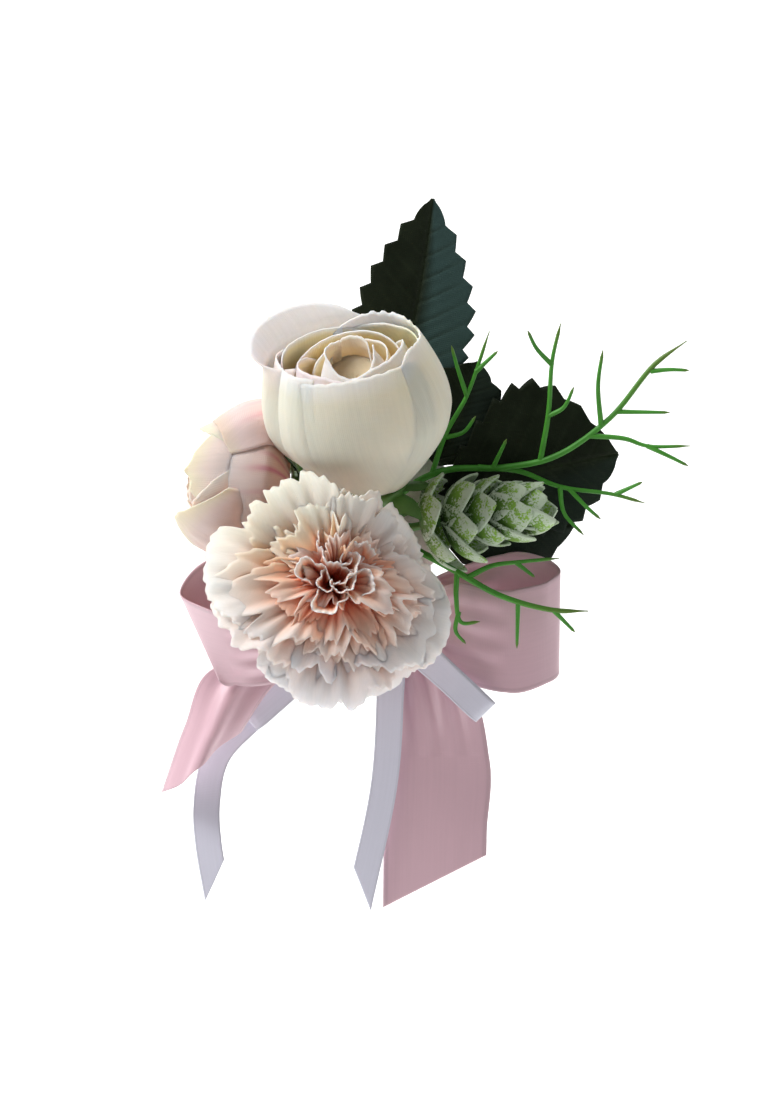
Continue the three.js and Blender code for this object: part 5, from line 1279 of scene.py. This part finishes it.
class CORSAGE_OT_leaves(bpy.types.Operator):
    """Press the veins of the dark leaves and cut their toothed edges"""

    bl_idname = "corsage.leaves"
    bl_label = "Leaves"

    def execute(self, context):
        cloth = new_material("Pressed polyester leaf cloth", leaf_cloth)
        # Each leaf: base and tip, width, where it is widest, how full its lower half is, bow, teeth and their depth,
        # fold along the midrib, curl of the tip and how much blue-grey sheen is painted on one half
        rows = (
            ("leaf_top", (1.6, -5.4, 15), (14.2, -6.2, 75), 25, 0.97, 1.0, 1.6, 11, 2.0, 0.03, 0.3, 0.7),
            ("leaf_back", (15, -7, 11.5), (25, -7, 36.5), 23, 1.0, 1.0, 0.0, 8, 1.8, 0.02, 0.0, 0.1),
            ("leaf_right", (14.5, -8.3, 5.5), (58.3, -8.8, 14.8), 40, 1.3, 0.7, 0.0, 9, 2.2, 0.02, 0.4, 0.1),
            ("leaf_lower", (14, -5.8, -4), (48.4, -6.4, -3.1), 21, 1.05, 1.25, 0.0, 8, 0.9, 0.01, 0.0, 0.1),
        )
        for name, base, tip, width, swell, lower, bend, teeth, tooth, fold, curl, painted_sheen in rows:
            base, tip = np.array(base, float), np.array(tip, float)
            length = np.linalg.norm(tip - base)
            lengthwise = unit(tip - base)
            facing = np.array((0.0, -1.0, 0.0))
            facing = unit(facing - lengthwise * facing.dot(lengthwise))
            stand = base, np.stack([np.cross(lengthwise, facing), lengthwise, facing])
            s, t = span(41, 14 * teeth + 1)
            ovate = np.sin(math.pi * t ** swell)
            saw = (t * teeth) % 1
            cut = tooth * np.minimum(saw / 0.714, (1 - saw) / 0.286) * np.clip(ovate * 3, 0, 1)
            half = 0.35 + width / 2 * ovate * np.where(s > 0, lower, 1) + np.abs(s) ** 6 * cut
            out = s * half
            bow = bend * np.sin(math.pi * t)
            # Side veins leave the midrib at a slant, one to each tooth
            slant = (t * length - 0.75 * np.abs(out)) / length * teeth
            vein = np.exp(-((slant % 1 - 0.5) / 0.07) ** 2) * np.clip(1.4 - np.abs(s), 0, 1) * np.clip(4 * ovate, 0, 1)
            rib = np.exp(-(out / 0.5) ** 2)
            press = sizes().vein_depth / MM * (0.8 * vein + 1.6 * rib)
            swellup = 0.16 * np.sin(math.pi * (slant % 1)) * np.clip(1 - np.abs(s), 0, 1) * np.clip(4 * ovate, 0, 1)
            rise = fold * np.abs(out) + curl * t ** 2 - press + swellup
            rise = rise + 0.5 * np.sin(3.1 * t + 2 * s) * np.abs(s)
            points = placed(stand, out + bow, t * length, rise)
            # Painted sheen: how much blue-grey painted reflection lies on this half of the blade
            shine = painted_sheen * tapered(s, 0.0, 0.35) * tapered(t, 0.1, 0.4) + 0 * t
            blade = patch(points, along=t + 0 * s, flush=0.5 * np.maximum(rib, 0.4 * vein), tint=shine)
            sew(name, [blade], [cloth], "dark_leaf", thick=sizes().leaf_thick)
        return {"FINISHED"}


# Each stretch of ribbon: rows of centre, direction across, share of the full width and any curl, then how much of its
# length the slanted end takes off at either edge, and its pleats
SATIN_ROWS = {
    "satin_loop_left": ((
        (-4.3, -15.45, -24, 0, 0, 1, 0.28), (-13, -17, -27.5, 0, -0.3, 1, 0.5), (-24, -16.8, -31, 0, -0.5, 0.87, 0.9),
        (-34.3, -15.5, -31.5, -0.12, -0.52, 0.84, 1), (-41.2, -12, -29.4, -0.36, -0.14, 0.92, 1),
        (-35.3, -9.3, -22.6, -0.2, -0.1, 0.97, 1), (-22, -9.5, -21.5, 0, 0, 1, 0.68), (-11, -12, -23.2, 0, 0, 1, 0.34),
        (-4.3, -13.35, -24, 0, 0, 1, 0.28)), 0, 0, 4),
    "satin_loop_right": ((
        (4.3, -15.45, -23.5, 0, 0, 1, 0.28), (12, -17.2, -24, 0, 0, 1, 0.5), (19.5, -18.3, -26, 0.1, -0.05, 1, 0.95),
        (32.4, -19.6, -28.4, 0.03, 0, 1, 1), (41.5, -17.2, -26.8, 0, 0, 1, 1), (44.6, -13.4, -25.1, 0, 0, 1, 1),
        (41.4, -9.8, -23, 0, 0, 1, 1), (31.3, -8.8, -22.2, 0, 0, 1, 1), (17, -10, -22.5, 0, 0, 1, 0.7),
        (4.3, -13.35, -23.5, 0, 0, 1, 0.28)), 0, 0, 4),
    "satin_tail_left": ((
        (-4.3, -14.4, -25.5, 0, 0, 1, 0.14), (-11, -12.6, -32.5, -0.3, 0.1, 0.95, 0.26),
        (-20, -7.6, -37.5, -0.7, 0, 0.7, 0.5), (-31.3, -5.4, -41, -0.98, 0, 0.2, 0.62, 1),
        (-39, -5.6, -54.6, -0.97, 0, 0.25, 0.48, 4), (-46, -6.4, -71.5, -0.97, 0, 0.25, 0.4, 5)), 0.22, 0, 2),
    "satin_tail_right": ((
        (4.3, -14.4, -25.5, 0, 0, 1, 0.14), (9.5, -14.6, -31, 0.75, 0, 0.66, 0.5),
        (12.8, -14.4, -40, 0.97, 0, 0.2, 0.85), (15.5, -14, -58.3, 1, 0.05, 0, 1), (15.2, -14.6, -78, 1, 0.05, 0, 1),
        (15, -15, -96.5, 1, 0.05, 0, 1)), 0, 0.14, 4),
}
LILAC_ROWS = {
    "lilac_tail_right": ((
        (1.5, -17.2, -25, 0.9, 0, 0.3, 0.8), (4.2, -17.4, -34, 1, 0, 0.1, 1), (4.2, -18, -44, 1, 0, 0, 1),
        (2.8, -17.5, -64.7, 1, 0.1, 0, 1), (-3.6, -18, -96, 0.97, 0.1, -0.2, 1)), 0.08, 0, 2),
    "lilac_loop_right": ((
        (1.5, -18.6, -24.1, 0.5, 0, 0.86, 0.8), (9, -21.9, -28.6, 0.7, 0, 0.7, 1), (18, -22.6, -36.6, 0.7, 0, 0.7, 1),
        (25.8, -22.4, -44.2, 0.7, 0, 0.7, 1), (26.9, -21.6, -45.2, 0.7, 0, 0.7, 1),
        (25.8, -20.9, -44.2, 0.7, 0, 0.7, 1), (18, -21, -36.6, 0.7, 0, 0.7, 1), (9, -20, -28.8, 0.7, 0, 0.7, 1),
        (1.5, -17.9, -24.5, 0.5, 0, 0.86, 0.8)), 0, 0, 2),
    "lilac_loop_left": ((
        (-1.5, -15, -30, 0.72, 0, -0.7, 0.6), (-8.5, -10, -35.5, 0.72, 0, -0.7, 1), (-17, -4.9, -41, 0.76, 0, -0.65, 1),
        (-24, -3.6, -47.6, 0.8, 0, -0.6, 1), (-29, -3.4, -52, 0.65, 0, -0.75, 1), (-30.2, -2.9, -52.8, 0.6, 0, -0.8, 1),
        (-29, -2.3, -52, 0.65, 0, -0.75, 1), (-24, -2.3, -47.6, 0.8, 0, -0.6, 1), (-17, -3.6, -41, 0.76, 0, -0.65, 1),
        (-8.5, -8.4, -35.2, 0.72, 0, -0.7, 1), (-1.5, -14, -30, 0.72, 0, -0.7, 0.6)), 0, 0, 2),
    "lilac_tail_left": ((
        (-2, -13.2, -29.4, 0.75, 0, -0.66, 0.5), (-10, -7, -35.2, 0.75, 0, -0.66, 0.9),
        (-19, -1.5, -43, 0.75, 0, -0.66, 1),
        (-30.5, -0.9, -54, 0.85, 0, -0.5, 1), (-38.4, -2, -63, 0.95, 0, -0.3, 1), (-40.6, -5, -74, 1, 0, 0, 1),
        (-40.2, -7, -83, 0.97, 0, 0.2, 1), (-38, -8, -97, 0.97, 0, 0.2, 1)), 0, 0.09, 2),
}
# Rows of points along any stretch of ribbon
RIBBON_LINES = 181


def ribbon_patch(width, threads, rows, slant_low, slant_high, pleats):
    """A ribbon along its rows, pleated where it is gathered; also its centre line and its length."""
    centres = [row[:3] for row in rows]
    acrosses = [unit(row[3:6]) for row in rows]
    spread = [(row[6], row[7] if len(row) > 7 else 0, 0) for row in rows]
    u = np.linspace(0, 1, threads)[None, :]
    v = np.linspace(0, 1, RIBBON_LINES)[:, None]
    s = 2 * u - 1
    t = v * (1 - slant_low * (1 - u) - slant_high * u)
    gathered, curl = np.moveaxis(curve_point(spread, t), -1, 0)[:2]
    across = curve_point(acrosses, t)
    across = across / np.linalg.norm(across, axis=-1, keepdims=True)
    points = curve_point(centres, t) + across * (s * gathered * width / 2)[..., None]
    points[..., 1] -= 1.6 * curl * (1 - s ** 2)
    # The cloth that a gather takes in stands up as pleats
    spare = np.sqrt(np.maximum(0, 2 * (1 / np.clip(gathered, 0.2, 1) ** 2 - 1)))
    height = np.minimum(4.4, gathered * width / 2 * spare / math.pi) / pleats * np.where(curl > 0.5, 0.25, 1)
    points = points + normals_of(points) * (height * np.cos(pleats * math.pi * s))[..., None]
    reach = np.linspace(0, 1 - (slant_low + slant_high) / 2, RIBBON_LINES)
    line = curve_point(centres, reach)
    steps = np.concatenate([[0], np.cumsum(np.linalg.norm(np.diff(line, axis=0), axis=-1))])
    uv = np.stack([s * width / 2 + 0 * t, np.interp(t, reach, steps)], -1) / UV_MM
    return patch(points, uv), line, steps[-1]


class CORSAGE_OT_satin(bpy.types.Operator):
    """Tie the wide pink satin bow"""

    bl_idname = "corsage.satin"
    bl_label = "Satin bow"

    def execute(self, context):
        size = sizes()
        width = size.satin_width / MM
        satin = new_material("Pink polyester satin", satin_ribbon, colours().satin, width, 1.3)
        for name, stretch in SATIN_ROWS.items():
            shape, _, length = ribbon_patch(width, 49, *stretch)
            piece = sew(name, [shape], [satin], "pink_satin", thick=size.ribbon_thick)
        knot = block_patch(KNOT_HALF_DEPTH, KNOT_HALF_HEIGHT, KNOT_HALF_WIDTH, 0.06, closed=True)
        sew("satin_gather", [knot], [satin], "pink_satin", merge=True)
        return {"FINISHED"}


def block_patch(half_depth, half_height, half_width, pleat, closed):
    """A ring of gathered ribbon round the middle of the bow, or a closed bundle of it."""
    angle = once_round(96)
    power = 4.0
    c, s = np.cos(angle), np.sin(angle)
    round_off = (np.abs(c) ** power + np.abs(s) ** power) ** (-1 / power)
    x = np.linspace(-half_width, half_width, 25)[:, None]
    swell = 1 + pleat * np.cos(14 * angle) * 0.6 - 0.02 * (x / half_width) ** 2
    y = half_depth * c * round_off * swell
    z = half_height * s * round_off * swell
    points = np.stack(np.broadcast_arrays(x, KNOT_Y + y, KNOT_Z + z), -1)
    if closed:
        ends = [np.broadcast_to(np.array((side * half_width, KNOT_Y, KNOT_Z)), (1, 96, 3)) for side in (-1, 1)]
        points = np.concatenate([ends[0], points, ends[1]])
    around = np.linspace(0, 4 * (half_depth + half_height), 97)[None, :]
    uv = np.stack(np.broadcast_arrays(points[:, :1, 0], around), -1) / UV_MM
    return patch(points, uv, ring=True)


class CORSAGE_OT_lilac(bpy.types.Operator):
    """Tie the narrow lilac bow round the satin one"""

    bl_idname = "corsage.lilac"
    bl_label = "Lilac bow"

    def execute(self, context):
        size = sizes()
        width = size.lilac_width / MM
        satin = new_material("Lilac polyester satin", satin_ribbon, colours().lilac, width, 0.6)
        for name, stretch in LILAC_ROWS.items():
            shape, line, length = ribbon_patch(width, 17, *stretch)
            piece = sew(name, [shape], [satin], "lilac_ribbon", thick=size.ribbon_thick)
        band = block_patch(KNOT_HALF_DEPTH + BAND_GAP, KNOT_HALF_HEIGHT + BAND_GAP, width / 2, 0.02, closed=False)
        sew("lilac_knot", [band], [satin], "lilac_ribbon", thick=size.ribbon_thick)
        return {"FINISHED"}


STEPS = ("stage", "lilac", "satin", "brooch", "pad", "stems", "calyxes", "rose", "bud", "carnation", "hop", "leaves",
         "fern")


class CORSAGE_PT_panel(bpy.types.Panel):
    """Lists the corsage's settings and its makers"""

    bl_label = "Corsage"
    bl_idname = "CORSAGE_PT_panel"
    bl_space_type = "VIEW_3D"
    bl_region_type = "UI"
    bl_category = "Corsage"

    def draw(self, context):
        for step in STEPS:
            self.layout.operator("corsage." + step)
        for group in (context.scene.corsage_sizes, context.scene.corsage_colours):
            box = self.layout.box()
            for key in group.__annotations__:
                box.prop(group, key)


CLASSES = (
    CorsageSizes, CorsageColours, CORSAGE_OT_stage, CORSAGE_OT_brooch, CORSAGE_OT_pad, CORSAGE_OT_stems,
    CORSAGE_OT_rose, CORSAGE_OT_bud, CORSAGE_OT_carnation, CORSAGE_OT_calyxes, CORSAGE_OT_fern, CORSAGE_OT_hop,
    CORSAGE_OT_leaves, CORSAGE_OT_satin, CORSAGE_OT_lilac, CORSAGE_PT_panel,
)


def register():
    for cls in CLASSES:
        bpy.utils.register_class(cls)
    bpy.types.Scene.corsage_sizes = bpy.props.PointerProperty(type=CorsageSizes)
    bpy.types.Scene.corsage_colours = bpy.props.PointerProperty(type=CorsageColours)


def unregister():
    del bpy.types.Scene.corsage_colours
    del bpy.types.Scene.corsage_sizes
    for cls in reversed(CLASSES):
        bpy.utils.unregister_class(cls)


def main():
    register()
    for step in STEPS:
        getattr(bpy.ops.corsage, step)()


if __name__ == "__main__":
    main()
